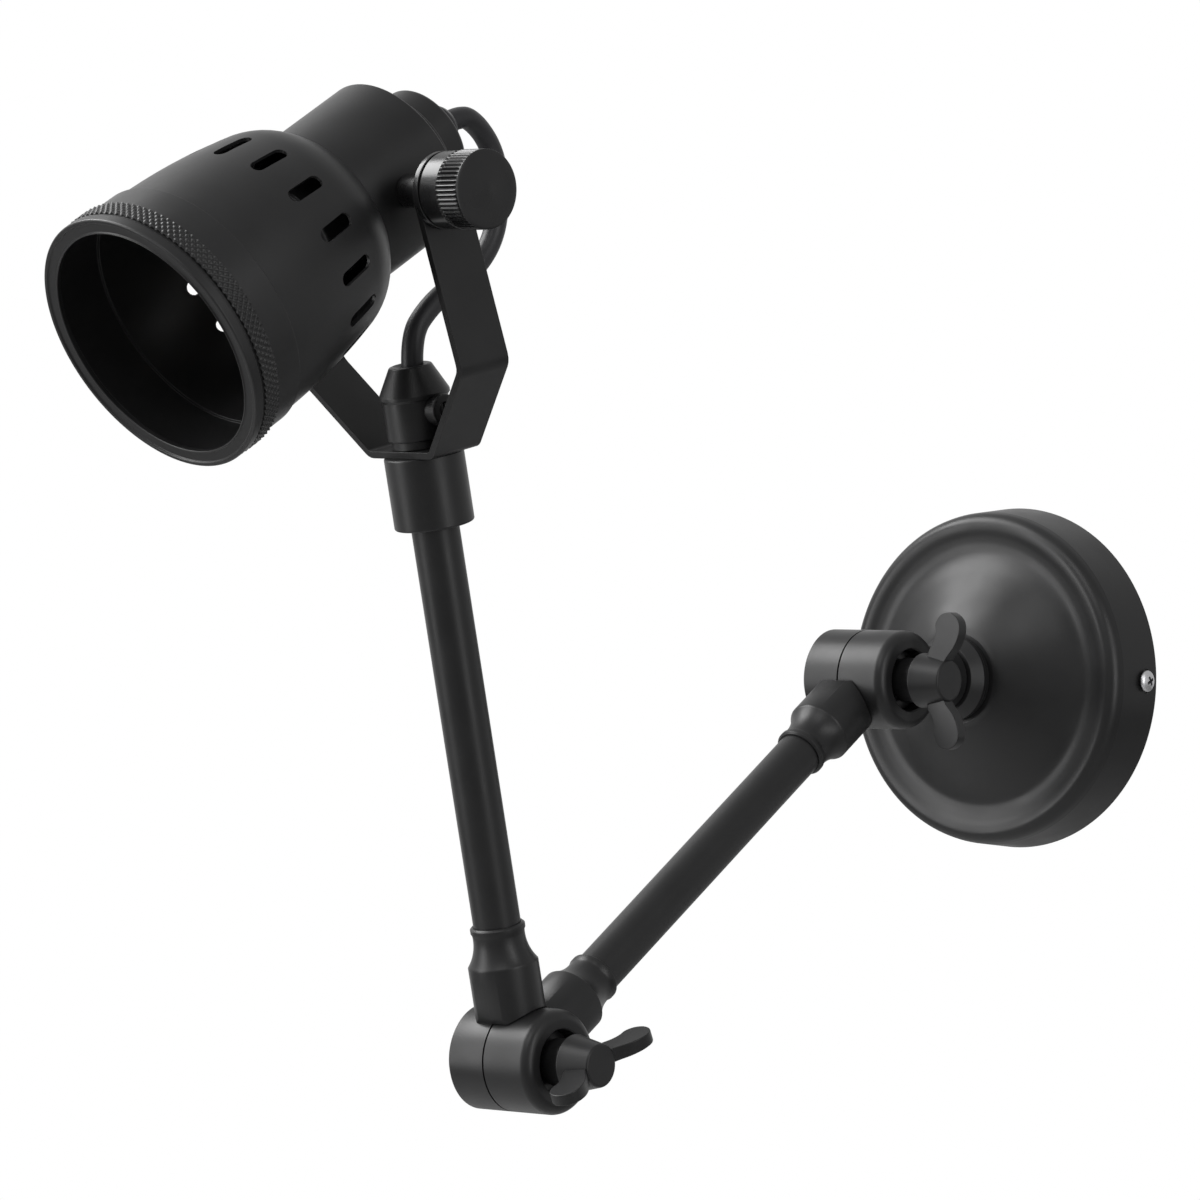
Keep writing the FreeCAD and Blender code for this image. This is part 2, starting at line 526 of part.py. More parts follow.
def wing_nut(side, place):
    """Wing nut: a collar that reaches into the recess, a coned hub and two leaning paddles."""
    owner = body(side + "_wing")
    bore = "bolt_radius + fit_clearance"
    neck = "recess_floor + washer_thickness + spring_thickness + 0.05"
    spun(owner, [
        (bore, neck), ("wing_neck_radius", neck), ("wing_neck_radius", "wing_hub_start"),
        ("wing_hub_big - wing_edge", "wing_hub_start"), ("wing_hub_big", "wing_hub_start + wing_edge"),
        ("wing_hub_small", "wing_hub_end - wing_edge"), ("wing_hub_small - wing_edge", "wing_hub_end"),
        ("0", "wing_hub_end"), ("0", "wing_hub_end - wing_cap"), (bore, "wing_hub_end - wing_cap")])
    wing = sketch_on(owner, "XZ_Plane")
    root, tip = "wing_hub_small - wing_root_depth", "wing_tip_reach - wing_tip_radius"
    draw(wing, [
        (root, "wing_root_start"), (tip, "wing_tip_offset - wing_tip_radius", "-half"),
        (tip, "wing_tip_offset + wing_tip_radius"), (root, "wing_root_end")])
    paddle = padded(owner, wing, "wing_thickness", symmetric=True)
    pattern = owner.newObject("PartDesign::PolarPattern", owner.Name + "_pair")
    pattern.Originals = [paddle]
    pattern.Axis = (origin_feature(owner, "Z_Axis"), [""])
    pattern.Angle = 360
    pattern.Occurrences = 2
    owner.Tip = pattern
    node(owner, side + "_wing_nut", place)


# ---------------------------------------------------------------- arms
def arm_tube(name, label, place, end):
    """Drawn tube from its seat in the socket."""
    disc(name, label, place, "tube_seat", end, "tube_radius - tube_wall", "tube_radius")


def collar():
    """Turned collar that closes the upper tube and carries the yoke."""
    low, top, radius = "upper_arm_length - collar_length", "upper_arm_length", "tube_radius + collar_wall"
    simple_turned("collar", "upper_arm_collar", UPPER, [
        (TUBE_BORE, low), (radius + " - collar_edge", low), (radius, low + " + collar_edge"),
        (radius, top + " - collar_edge"), (radius + " - collar_edge", top), (NIPPLE_HOLE, top),
        (NIPPLE_HOLE, top + " - collar_cap"), (TUBE_BORE, top + " - collar_cap")])
    disc("yoke_thread", "yoke_nipple", UPPER, top + " - 12",
         top + " + yoke_strap + grip_seat - nipple_end_gap", "nipple_bore", "nipple_radius")


# ---------------------------------------------------------------- yoke
def yoke():
    """Strap yoke. Its U is drawn on a plane that leans with the legs and is pushed out level with
    the base, so the base lies flat on the collar while both legs lean forward."""
    owner = body("yoke")
    foot, bend = ("yoke_base_half", "0"), ("yoke_bend_half", "yoke_bend_height")
    lower = "atan(yoke_bend_height / (yoke_bend_half - yoke_base_half))"
    upper = "atan((pivot_height - yoke_bend_height) / (yoke_top_half - yoke_bend_half))"
    top = "pivot_height + yoke_width"
    slope = "(yoke_top_half - yoke_bend_half) / (pivot_height - yoke_bend_height)"
    inner_top = "yoke_top_half + yoke_width * %s" % slope
    sole = "yoke_strap / cos(yoke_lean)"
    outer_foot = "yoke_base_half + yoke_strap * tan(%s / 2)" % lower
    mitre = "yoke_strap / cos((%s - %s) / 2)" % (upper, lower)
    outer_bend = ("yoke_bend_half + %s * sin((%s + %s) / 2)" % (mitre, upper, lower),
                  "yoke_bend_height - %s * cos((%s + %s) / 2)" % (mitre, upper, lower))
    half = [foot, bend, (inner_top, top), (inner_top + " + yoke_strap / sin(%s)" % upper, top),
            outer_bend, (outer_foot, "-(%s)" % sole)]
    profile = sketch_on(owner, "XZ_Plane", tilt="yoke_lean")
    mirrored = [("-(%s)" % x, y) for x, y in reversed(half)]
    draw(profile, half + mirrored)
    doc.recompute()
    strap = owner.newObject("PartDesign::Pad", "yoke_strap_pad")
    strap.Profile = profile
    strap.UseCustomVector = True
    strap.Direction = Vector(0, -1, 0)
    strap.AlongSketchNormal = False
    strap.setExpression("Length", cells("yoke_width"))
    strap.SideType = "Symmetric"
    doc.recompute()
    bends = {"yoke_bend_radius": bend, "yoke_bend_radius + yoke_strap": outer_bend,
             "yoke_base_radius": foot, "yoke_base_radius + yoke_strap": (outer_foot, "-(%s)" % sole)}
    for radius, (across, up) in bends.items():
        round_bend(owner, radius, number(across), number(up) * math.cos(lean))
    ends = sketch_on(owner, "YZ_Plane", tilt="yoke_lean", tilt_axis=Z)
    side, reach = "yoke_width / 2 * cos(yoke_lean)", "2 * yoke_width"
    draw(ends, [("-" + side, "pivot_height", "half"), (side, "pivot_height"), (reach, "pivot_height"),
                (reach, "pivot_height + " + reach), ("-" + reach, "pivot_height + " + reach),
                ("-" + reach, "pivot_height")])
    pocketed(owner, ends, "4 * yoke_top_half", symmetric=True)
    pins = sketch_on(owner, "YZ_Plane", tilt="yoke_lean", tilt_axis=Z)
    circle(pins, "0", "pivot_height", "stud_thread_radius + stud_hole_clearance")
    pocketed(owner, pins, "4 * yoke_top_half", symmetric=True)
    foot_hole = sketch_on(owner, "XY_Plane")
    circle(foot_hole, "0", "0", "nipple_radius + 0.1")
    pocketed(owner, foot_hole, "4 * yoke_strap", symmetric=True)
    node(owner, "yoke", YOKE)


def round_bend(owner, radius, across, up):
    """Round both edges of one bend of the strap, found by where they lie."""
    edges, base = [], owner.Tip
    for index, edge in enumerate(base.Shape.Edges, start=1):
        ends = [vertex.Point for vertex in edge.Vertexes]
        if len(ends) != 2 or ends[0].x * ends[1].x < 0:
            continue
        if all(abs(abs(end.x) - across) < 0.05 and abs(end.z - up) < 0.05 for end in ends):
            edges.append("Edge%d" % index)
    if len(edges) != 2:
        raise RuntimeError("the strap has %d edges at a bend" % len(edges))
    rounded = owner.newObject("PartDesign::Fillet", "yoke_bend")
    rounded.Base = (base, edges)
    rounded.setExpression("Radius", cells(radius))
    doc.recompute()


def cord_grip():
    """Cord grip on the yoke: threaded foot, round body and coned mouth, with a set screw at the side."""
    owner = body("grip")
    spun(owner, [
        (NIPPLE_HOLE, "0"), ("grip_neck_radius", "0"), ("grip_neck_radius", "grip_neck_height"),
        ("grip_radius - 0.5", "grip_neck_height"), ("grip_radius", "grip_neck_height + 0.5"),
        ("grip_radius", "grip_height - 0.8"), ("grip_skirt_radius", "grip_height"),
        ("grip_skirt_radius", "grip_height + 1"), ("grip_mouth_radius + 0.5", "grip_top"),
        ("grip_mouth_radius - 0.5", "grip_top + 0.3"), (CORD_HOLE, "grip_top - 0.6"),
        (CORD_HOLE, "grip_seat"), (NIPPLE_HOLE, "grip_seat")])
    side = sketch_on(owner, "YZ_Plane", lift="cord_radius + 2.5")
    circle(side, "0", "grip_boss_height", "grip_boss_radius")
    padded(owner, side, "grip_boss_reach - cord_radius - 2.5")
    tap = sketch_on(owner, "YZ_Plane")
    circle(tap, "0", "grip_boss_height", "grip_screw_radius + thread_gap")
    pocketed(owner, tap, "grip_boss_reach + 1", backwards=True)
    node(owner, "cord_grip", YOKE)
    screw = body("grip_screw")
    thread = sketch_on(screw, "YZ_Plane", lift="cord_radius + 0.3")
    circle(thread, "0", "grip_boss_height", "grip_screw_radius")
    padded(screw, thread, "grip_boss_reach - cord_radius - 0.6")
    cut = sketch_on(screw, "YZ_Plane", lift="grip_boss_reach - 1.3")
    draw(cut, [("-3", "grip_boss_height - 0.35"), ("3", "grip_boss_height - 0.35"),
               ("3", "grip_boss_height + 0.35"), ("-3", "grip_boss_height + 0.35")])
    pocketed(screw, cut, "2", backwards=True)
    node(screw, "cord_grip_screw", YOKE)


# ---------------------------------------------------------------- head
def head_barrel():
    """Cup-shaped barrel, open to the shade, with the studs' holes through its sides."""
    owner = body("barrel")
    back = "-barrel_back"
    spun(owner, [
        (NIPPLE_HOLE, back), ("barrel_radius - barrel_edge", back),
        ("barrel_radius", back + " + barrel_edge"),
        ("barrel_radius", "barrel_front"), ("barrel_radius - barrel_wall", "barrel_front"),
        ("barrel_radius - barrel_wall", back + " + barrel_wall"), (NIPPLE_HOLE, back + " + barrel_wall")])
    holes = sketch_on(owner, "YZ_Plane")
    circle(holes, "0", "0", "stud_thread_radius + fit_clearance")
    pocketed(owner, holes, "3 * barrel_radius", symmetric=True)
    node(owner, "head_barrel", HEAD)


def shade():
    """Spun bell shade with a ring of vent slots and a plain band that the front ring screws onto."""
    owner = body("shade")
    neck, wall = "barrel_radius + fit_clearance", "shade_wall"
    band = "shade_front_radius - step_depth"
    start = "(shade_end - shade_band_length)"
    back, shoulder = "(barrel_radius + shade_back_step)", "(barrel_radius + shade_shoulder_step)"
    front_inside = (band + " - shade_wall", start)
    waist = (shoulder, "shade_shoulder")
    waist_inside = (shoulder + " - 1.05 * shade_wall", "shade_shoulder + 0.4 * shade_wall")
    back_inside = (back + " - 0.9 * shade_wall", "shade_back + 1.4 * shade_wall")
    spun(owner, [
        (neck, "shade_back"), (back + " - shade_back_edge", "shade_back"),
        (back, "shade_back + shade_back_edge", "-shade_shoulder_curve"),
        waist, bowed(waist, (band, start), "shade_side_sag"), (band, start),
        ("shade_front_radius", start + " + step_length"), ("shade_front_radius", "shade_end"),
        ("shade_front_radius - shade_wall", "shade_end"), ("shade_front_radius - shade_wall", start),
        front_inside, bowed(front_inside, waist_inside, "-shade_side_sag"), waist_inside,
        bowed(waist_inside, back_inside, "-shade_shoulder_sag"), back_inside,
        (neck, "shade_back + 1.4 * shade_wall")])
    vent = sketch_on(owner, "YZ_Plane", lift="barrel_radius")
    slot(vent, "0", "vent_middle", "vent_length", "vent_width", upright=True)
    cut = pocketed(owner, vent, "barrel_radius", backwards=True)
    pattern = owner.newObject("PartDesign::PolarPattern", "vent_ring")
    pattern.Originals = [cut]
    pattern.Axis = (origin_feature(owner, "Z_Axis"), [""])
    pattern.Angle = 360
    pattern.setExpression("Occurrences", cells("slot_count"))
    owner.Tip = pattern
    node(owner, "shade", HEAD_VENTS)


def front_ring():
    """Front ring: a knurled band that screws over the shade, and a lip turned in over its edge."""
    start = "shade_end - ring_overlap"
    knurl_end, end = start + " + ring_knurl_length", start + " + ring_length"
    bore, crown = "shade_front_radius + fit_clearance", "shade_front_radius + ring_knurl_wall"
    radius, mouth = "shade_front_radius + ring_wall", "shade_front_radius - ring_lip_inset"
    simple_turned("ring", "front_ring", HEAD, [
        (bore, start), (crown + " - ring_edge", start), (crown, start + " + ring_edge"),
        (crown, knurl_end + " - 0.3"), (radius + " - 0.5", knurl_end),
        (radius + " - 0.5", knurl_end + " + 0.4"),
        (radius, knurl_end + " + 0.9"), (radius, end + " - 0.8"), (radius + " - 0.8", end),
        (mouth + " + ring_edge", end), (mouth, end + " - ring_edge"), (mouth, end + " - ring_lip"),
        (bore, end + " - ring_lip")])


def lampholder():
    """Screw-shell lampholder on a hollow thread through the barrel's back."""
    base, seat = "-(barrel_back - barrel_wall)", "-(barrel_back - barrel_wall) + 10"
    mouth = seat + " + holder_length"
    simple_turned("holder", "lampholder", HEAD, [
        (NIPPLE_HOLE, base), ("holder_neck_radius", base), ("holder_neck_radius", seat),
        ("holder_radius - 2", seat), ("holder_radius", seat + " + 2"), ("holder_radius", mouth),
        ("holder_bore", mouth), ("holder_bore", mouth + " - holder_depth"),
        (NIPPLE_HOLE, mouth + " - holder_depth")])
    disc("contact", "centre_contact", HEAD, mouth + " - holder_depth - 3", mouth + " - holder_depth - 0.2",
         "0", "nipple_radius")
    disc("head_thread", "holder_nipple", HEAD, "-barrel_back - 5", base + " + 9.5",
         "nipple_bore", "nipple_radius")
    hex_nut("head_nut", "holder_nut", HEAD, "-barrel_back - nut_thickness", NIPPLE_HOLE)


def rear_cap():
    """Stepped cap behind the barrel and the bushing that the cord enters through."""
    back, step = "-barrel_back", "-barrel_back - cap_length"
    end = step + " - cap_step_length"
    simple_turned("cap", "rear_cap", HEAD, [
        ("cap_radius - cap_wall", back), ("cap_radius", back), ("cap_radius", step + " + 1"),
        ("cap_radius - 1", step), ("cap_step_radius", step), ("cap_step_radius", end + " + 1.5"),
        ("cap_step_radius - 1.5", end), (BUSHING_NECK + " + fit_clearance", end),
        (BUSHING_NECK + " + fit_clearance", end + " + cap_wall"),
        ("cap_step_radius - cap_wall", end + " + cap_wall"),
        ("cap_step_radius - cap_wall", step + " + cap_wall"),
        ("cap_radius - cap_wall", step + " + cap_wall")])
    inside, flange = end + " + cap_wall + 0.1", end + " + cap_wall + 1.4"
    tip = end + " - bushing_length"
    simple_turned("bushing", "rear_bushing", HEAD, [
        (CORD_HOLE, flange), ("bushing_radius + 0.6", flange), ("bushing_radius + 0.6", inside),
        (BUSHING_NECK, inside), (BUSHING_NECK, end + " - 0.1"), ("bushing_radius", end + " - 0.1"),
        ("bushing_radius", tip + " + 2"), ("bushing_radius - 2", tip), (CORD_HOLE, tip)])


def stud(side, place):
    """Shouldered stud fixed in the barrel's wall, its thread passing through the strap."""
    owner = body(side + "_stud")
    root = "barrel_radius - barrel_wall - stud_root"
    shank = sketch_on(owner, "XY_Plane", lift=root)
    circle(shank, "0", "0", "stud_thread_radius")
    padded(owner, shank, "%s - knob_cap - 1 - (%s)" % (KNOB_END, root))
    inner = sketch_on(owner, "XY_Plane", lift=root)
    circle(inner, "0", "0", "stud_radius - 0.6")
    padded(owner, inner, "stud_root - 0.8")
    shoulder_disc = sketch_on(owner, "XY_Plane", lift="barrel_radius + 0.05")
    circle(shoulder_disc, "0", "0", "stud_radius")
    padded(owner, shoulder_disc, "yoke_top_half - barrel_radius - 0.5")
    node(owner, side + "_stud", place)


def knob(side, place):
    """Thumb knob: flange, groove, smooth waist and a band of straight ribs under a soft dome."""
    owner = body(side + "_knob")
    base = KNOB_BASE
    groove, smooth = base + " + knob_flange", base + " + knob_flange + knob_groove"
    rib_start = smooth + " + knob_smooth"
    rim, crown = KNOB_END + " - knob_dome", KNOB_END
    core = "knob_radius - knob_rib_depth - 0.2"
    bore = "stud_thread_radius + fit_clearance"
    spun(owner, [
        (bore, base), ("knob_radius - 0.7", base), ("knob_radius - 0.3", base + " + 0.4"),
        ("knob_radius - 0.3", groove), ("knob_radius - 1.1", groove), ("knob_radius - 1.1", smooth),
        ("knob_radius - 0.4", smooth + " + 0.3"), ("knob_radius - 0.4", rib_start), (core, rib_start),
        (core, rim + " - 0.4"), ("knob_radius - 1.4", rim),
        ("knob_radius / 2", crown + " - knob_dome / 5"), ("0", crown), ("0", crown + " - knob_cap"),
        (bore, crown + " - knob_cap")])
    ribs = sketch_on(owner, "XY_Plane", lift=rib_start)
    count = int(number("knob_ribs"))
    corners = []
    for step in range(2 * count):
        radius = "knob_radius" if step % 2 else "(knob_radius - knob_rib_depth)"
        turn = "%d * 180 / %d" % (step, count)
        corners.append(("%s * cos(%s)" % (radius, turn), "%s * sin(%s)" % (radius, turn)))
    draw(ribs, corners)
    circle(ribs, "0", "0", bore + " + 2")
    padded(owner, ribs, "%s - 0.6 - (%s)" % (rim, rib_start))
    node(owner, side + "_knob", place)


# ---------------------------------------------------------------- cord
def cord():
    """Cord from the yoke's grip up into the head: straight runs joined by tangent arcs. Its ends
    lie on the axes of the grip and of the head, and CORD_ROUTE says how it loops between them."""
    foot = [swivel + upper_way * reach for reach in (12.0, 33.0)]
    head = [pivot - head_way * reach for reach in (51.0, 33.0)]
    route = foot + [Vector(*spot) for spot in CORD_ROUTE] + head
    edges, start = [], route[0]
    for before, corner, after in zip(route, route[1:], route[2:]):
        back, ahead = before - corner, after - corner
        turn = math.pi - back.getAngle(ahead)
        cut = 0.45 * min(back.Length, ahead.Length)
        radius = cut / math.tan(turn / 2)
        first, last = corner + back.normalize() * cut, corner + ahead.normalize() * cut
        middle_way = (back + ahead).normalize()
        reach = math.hypot(cut, radius)
        middle = corner + middle_way * (reach - radius)
        edges += [Part.LineSegment(start, first).toShape(), Part.Arc(first, middle, last).toShape()]
        print("cord bend radius %.1f turn %.0f" % (radius, math.degrees(turn)))
        start = last
    edges.append(Part.LineSegment(start, route[-1]).toShape())
    path = Part.Wire(edges)
    ring = Part.Wire([Part.Circle(route[0], upper_way, number("cord_radius")).toShape()])
    tube = path.makePipeShell([ring], True, False)
    expected = math.pi * number("cord_radius") ** 2 * path.Length
    print("cord length %.1f volume %.0f expected %.0f" % (path.Length, tube.Volume, expected))
    piece = doc.addObject("Part::Feature", "cord_piece")
    piece.Shape = tube if tube.ShapeType == "Solid" else tube.Solids[0]
    node(piece, "cord")


CORD_ROUTE = [
    (1.2, -309.5, 119.7), (2.2, -294.0, 128.0), (2.9, -283.5, 139.2), (3.2, -281.0, 153.7),
    (3.4, -283.7, 166.7), (3.6, -291.8, 175.6)]

# ---------------------------------------------------------------- the lamp, from wall to head
canopy()
wall_bracket()
canopy_screw("right_side_screw", "right_canopy_screw", X)
canopy_screw("left_side_screw", "left_canopy_screw", X * -1)
terminal_block()
earth_screw()
stem_fixings()
knuckle("stem", "shoulder_stem", STEM, stem_socket(), "stem_length", near=True)
knuckle_fixings("shoulder", SHOULDER_AXIS)
wing_nut("shoulder", SHOULDER_WING)
knuckle("lower_rear", "lower_arm_rear_socket", LOWER, arm_socket(), "tube_seat", near=False)
arm_tube("lower_tube", "lower_arm_tube", LOWER, "lower_arm_length - tube_seat")
knuckle("lower_front", "lower_arm_front_socket", LOWER_BACK, arm_socket(), "tube_seat", near=True)
knuckle_fixings("elbow", ELBOW_AXIS)
wing_nut("elbow", ELBOW_WING)
knuckle("upper_rear", "upper_arm_socket", UPPER, arm_socket(), "tube_seat", near=False)
arm_tube("upper_tube", "upper_arm_tube", UPPER, "upper_arm_length - collar_cap")
collar()
yoke()
cord_grip()
head_barrel()
shade()
front_ring()
lampholder()
rear_cap()
for side, place in (("right", RIGHT_PIVOT), ("left", LEFT_PIVOT)):
    stud(side, place)
    knob(side, place)
cord()


def finish():
    """Stop on any failed or empty piece, then write every node."""
    doc.recompute()
    for item in doc.Objects:
        if "Invalid" in item.State or "Error" in item.State:
            raise RuntimeError("%s did not rebuild" % item.Name)
    os.makedirs("parts", exist_ok=True)
    for piece in NODES:
        if piece.Shape.isNull() or not piece.Shape.isValid():
            raise RuntimeError("%s has no valid shape" % piece.Label)
        piece.Shape.exportStep(os.path.join("parts", piece.Label + ".step"))
        box = piece.Shape.BoundBox
        sides = (box.XMin, box.YMin, box.ZMin, box.XMax, box.YMax, box.ZMax)
        print("%-24s solids %d volume %.0f box %s" % (
            piece.Label, len(piece.Shape.Solids), piece.Shape.Volume, [round(side, 1) for side in sides]))


finish()
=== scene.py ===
import json
import math

import bmesh
import bpy
from mathutils import Matrix, Vector


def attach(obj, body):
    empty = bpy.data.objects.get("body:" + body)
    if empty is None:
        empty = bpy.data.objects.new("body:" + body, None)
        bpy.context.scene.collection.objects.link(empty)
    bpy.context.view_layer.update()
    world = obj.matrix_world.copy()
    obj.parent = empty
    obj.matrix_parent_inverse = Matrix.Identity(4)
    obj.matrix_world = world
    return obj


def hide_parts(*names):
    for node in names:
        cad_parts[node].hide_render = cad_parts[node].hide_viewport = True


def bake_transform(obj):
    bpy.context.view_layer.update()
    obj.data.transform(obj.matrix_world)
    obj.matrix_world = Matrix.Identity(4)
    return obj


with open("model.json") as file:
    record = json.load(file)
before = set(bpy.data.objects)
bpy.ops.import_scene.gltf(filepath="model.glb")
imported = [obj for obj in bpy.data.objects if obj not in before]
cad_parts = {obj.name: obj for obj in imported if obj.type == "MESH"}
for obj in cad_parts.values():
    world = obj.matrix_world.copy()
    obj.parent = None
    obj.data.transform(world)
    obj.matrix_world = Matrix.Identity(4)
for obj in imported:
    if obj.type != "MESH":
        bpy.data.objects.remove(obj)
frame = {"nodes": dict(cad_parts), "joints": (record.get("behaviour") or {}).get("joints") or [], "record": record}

bl_info = {
    "name": "Articulating wall lamp",
    "version": (1, 0, 0),
    "blender": (4, 5, 0),
    "location": "View3D > Sidebar > Wall lamp",
    "description": "Builds the finished look of an articulating wall lamp on its packed CAD frame",
    "category": "Object",
}

MM = 0.001

# Fits that several pieces share, in millimetres.
NIPPLE_HOLE = 5.05
STUD_HOLE = 3.05
CORD_HOLE = 3.75
TUBE_FIT = 0.05
TUBE_SEAT = 23.0
SCREW_HEIGHT = 6.0
DOME_TOP = 35.8

# The photograph's side and focal length in its own pixels, and where it was taken from: metres in
# the row frame, and degrees round the lamp, above level and about the line of sight.
PHOTO_SIDE, PHOTO_FOCAL, SENSOR_WIDTH = 1200.0, 5746.69, 36.0
CAMERA_SPOT = (1.21784, -1.63565, 0.03105)
CAMERA_AZIMUTH, CAMERA_ELEVATION, CAMERA_ROLL = 40.836, 0.144, 0.624

RECORD = frame["record"]
JOINTS = {joint["name"]: joint for joint in frame["joints"]}
MOUNTS = {mount["name"]: mount for mount in RECORD["mounts"]}
X, Y, Z = Vector((1, 0, 0)), Vector((0, 1, 0)), Vector((0, 0, 1))


# ------------------------------------------------------------ places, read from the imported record
def joint_at(name):
    """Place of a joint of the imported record."""
    return Vector(JOINTS[name]["pos_m"])


def stand(spot, x_axis, z_axis):
    """Matrix with its own X and Z along two directions, at a spot in the row frame."""
    z = z_axis.normalized()
    y = z.cross(x_axis).normalized()
    return Matrix.Translation(spot) @ Matrix((y.cross(z), y, z)).transposed().to_4x4()


SHOULDER, ELBOW = joint_at("shoulder"), joint_at("elbow")
SWIVEL, PIVOT = joint_at("yoke_swivel"), joint_at("head_tilt")
LOWER_WAY = (ELBOW - SHOULDER).normalized()
UPPER_WAY = Vector(JOINTS["yoke_swivel"]["axis"]).normalized()
YOKE_SIDE = Vector(JOINTS["head_tilt"]["axis"]).normalized()
YOKE_FRONT = YOKE_SIDE.cross(UPPER_WAY).normalized()
LEG_WAY = (PIVOT - SWIVEL).normalized()
HEAD_WAY = Vector(MOUNTS["lamp_thread"]["axis"]).normalized()
WALL = stand(Vector(), X, -Y)
LOWER = stand(SHOULDER, X, LOWER_WAY)
UPPER = stand(ELBOW, X, UPPER_WAY)
YOKE = stand(SWIVEL, YOKE_SIDE, UPPER_WAY)
HEAD = stand(PIVOT, YOKE_SIDE, HEAD_WAY)
PIVOTS = {"right": stand(PIVOT, HEAD_WAY, YOKE_SIDE), "left": stand(PIVOT, HEAD_WAY, -YOKE_SIDE)}


# ------------------------------------------------------------ sizes and colours
def length(value, text):
    """Property for a length, given in millimetres and kept in metres."""
    return bpy.props.FloatProperty(name=text, description=text, default=value * MM, min=0.0,
                                   subtype="DISTANCE", unit="LENGTH")


def colour(value, text):
    """Property for a linear colour."""
    return bpy.props.FloatVectorProperty(name=text, description=text, default=value, size=3,
                                         min=0.0, max=1.0, subtype="COLOR")


def count(value, text):
    """Property for a number of like features round a piece."""
    return bpy.props.IntProperty(name=text, description=text, default=value, min=3)


class LampSettings(bpy.types.PropertyGroup):
    """Sizes and colours that the pieces are made from."""
    edge: length(0.25, "Rounding of turned edges")
    canopy_radius: length(60.0, "Radius of the canopy at the wall")
    canopy_wall: length(1.0, "Sheet thickness of the canopy")
    boss_radius: length(15.2, "Radius of the boss on the dome")
    tube_radius: length(7.65, "Outer radius of the arm tubes")
    tube_wall: length(1.2, "Wall of the arm tubes")
    collar_radius: length(12.7, "Radius of the collar under the yoke")
    strap_width: length(19.9, "Width of the yoke's strap")
    strap_thickness: length(2.3, "Thickness of the yoke's strap")
    barrel_radius: length(27.4, "Radius of the head's barrel")
    shade_radius: length(41.9, "Radius of the shade's front band")
    shade_wall: length(1.2, "Sheet thickness of the shade")
    ring_radius: length(42.9, "Radius of the front ring's lip")
    knurl_radius: length(43.1, "Radius over the front ring's knurl")
    knob_radius: length(12.2, "Radius of the thumb knobs")
    cord_radius: length(3.5, "Radius of the cord")
    vents: count(16, "Vent slots round the shade")
    ribs: count(52, "Ribs round each thumb knob")
    knurls: count(112, "Diamonds round the front ring")
    coat: colour((0.0060, 0.0060, 0.0062), "Black powder coat")
    zinc: colour((0.50, 0.50, 0.51), "Zinc-plated steel")
    brass: colour((0.72, 0.50, 0.22), "Brass")
    moulding: colour((0.016, 0.016, 0.017), "Black moulded plastic")
    terminal: colour((0.80, 0.78, 0.71), "Pale terminal block")
    sheath: colour((0.010, 0.010, 0.011), "Cord sheath")


def sizes():
    """The scene's lamp settings."""
    return bpy.context.scene.wall_lamp


# ------------------------------------------------------------ finishes
METAL_GLOSS, COAT_GLOSS = 0.5, 0.17
GRAIN_RELIEF = 0.1


def grained(name, tint, metal, rough, spread, grain, depth, patch=60.0):
    """Procedural finish: fine bump grain, and roughness that drifts in patches."""
    material = bpy.data.materials.new(name)
    material.use_nodes = True
    tree = material.node_tree
    shader = tree.nodes["Principled BSDF"]
    shader.inputs["Metallic"].default_value = metal
    shader.inputs["Specular IOR Level"].default_value = METAL_GLOSS if metal else COAT_GLOSS
    place = tree.nodes.new("ShaderNodeTexCoord")
    fine = tree.nodes.new("ShaderNodeTexNoise")
    fine.inputs["Scale"].default_value = grain
    fine.inputs["Detail"].default_value = 3.0
    broad = tree.nodes.new("ShaderNodeTexNoise")
    broad.inputs["Scale"].default_value = patch
    broad.inputs["Detail"].default_value = 4.0
    for texture in (fine, broad):
        tree.links.new(place.outputs["Object"], texture.inputs["Vector"])
    bump = tree.nodes.new("ShaderNodeBump")
    bump.inputs["Strength"].default_value = depth
    bump.inputs["Distance"].default_value = GRAIN_RELIEF * MM
    tree.links.new(fine.outputs["Fac"], bump.inputs["Height"])
    tree.links.new(bump.outputs["Normal"], shader.inputs["Normal"])
    drift = tree.nodes.new("ShaderNodeMapRange")
    drift.inputs["From Min"].default_value = 0.3
    drift.inputs["From Max"].default_value = 0.7
    drift.inputs["To Min"].default_value = rough - spread
    drift.inputs["To Max"].default_value = rough + spread
    tree.links.new(broad.outputs["Fac"], drift.inputs["Value"])
    tree.links.new(drift.outputs["Result"], shader.inputs["Roughness"])
    shade = tree.nodes.new("ShaderNodeMix")
    shade.data_type = "RGBA"
    shade.inputs["A"].default_value = (*[part * 0.8 for part in tint], 1.0)
    shade.inputs["B"].default_value = (*[min(part * 1.25, 1.0) for part in tint], 1.0)
    tree.links.new(broad.outputs["Fac"], shade.inputs["Factor"])
    tree.links.new(shade.outputs["Result"], shader.inputs["Base Color"])
    return material


FINISHES = {}


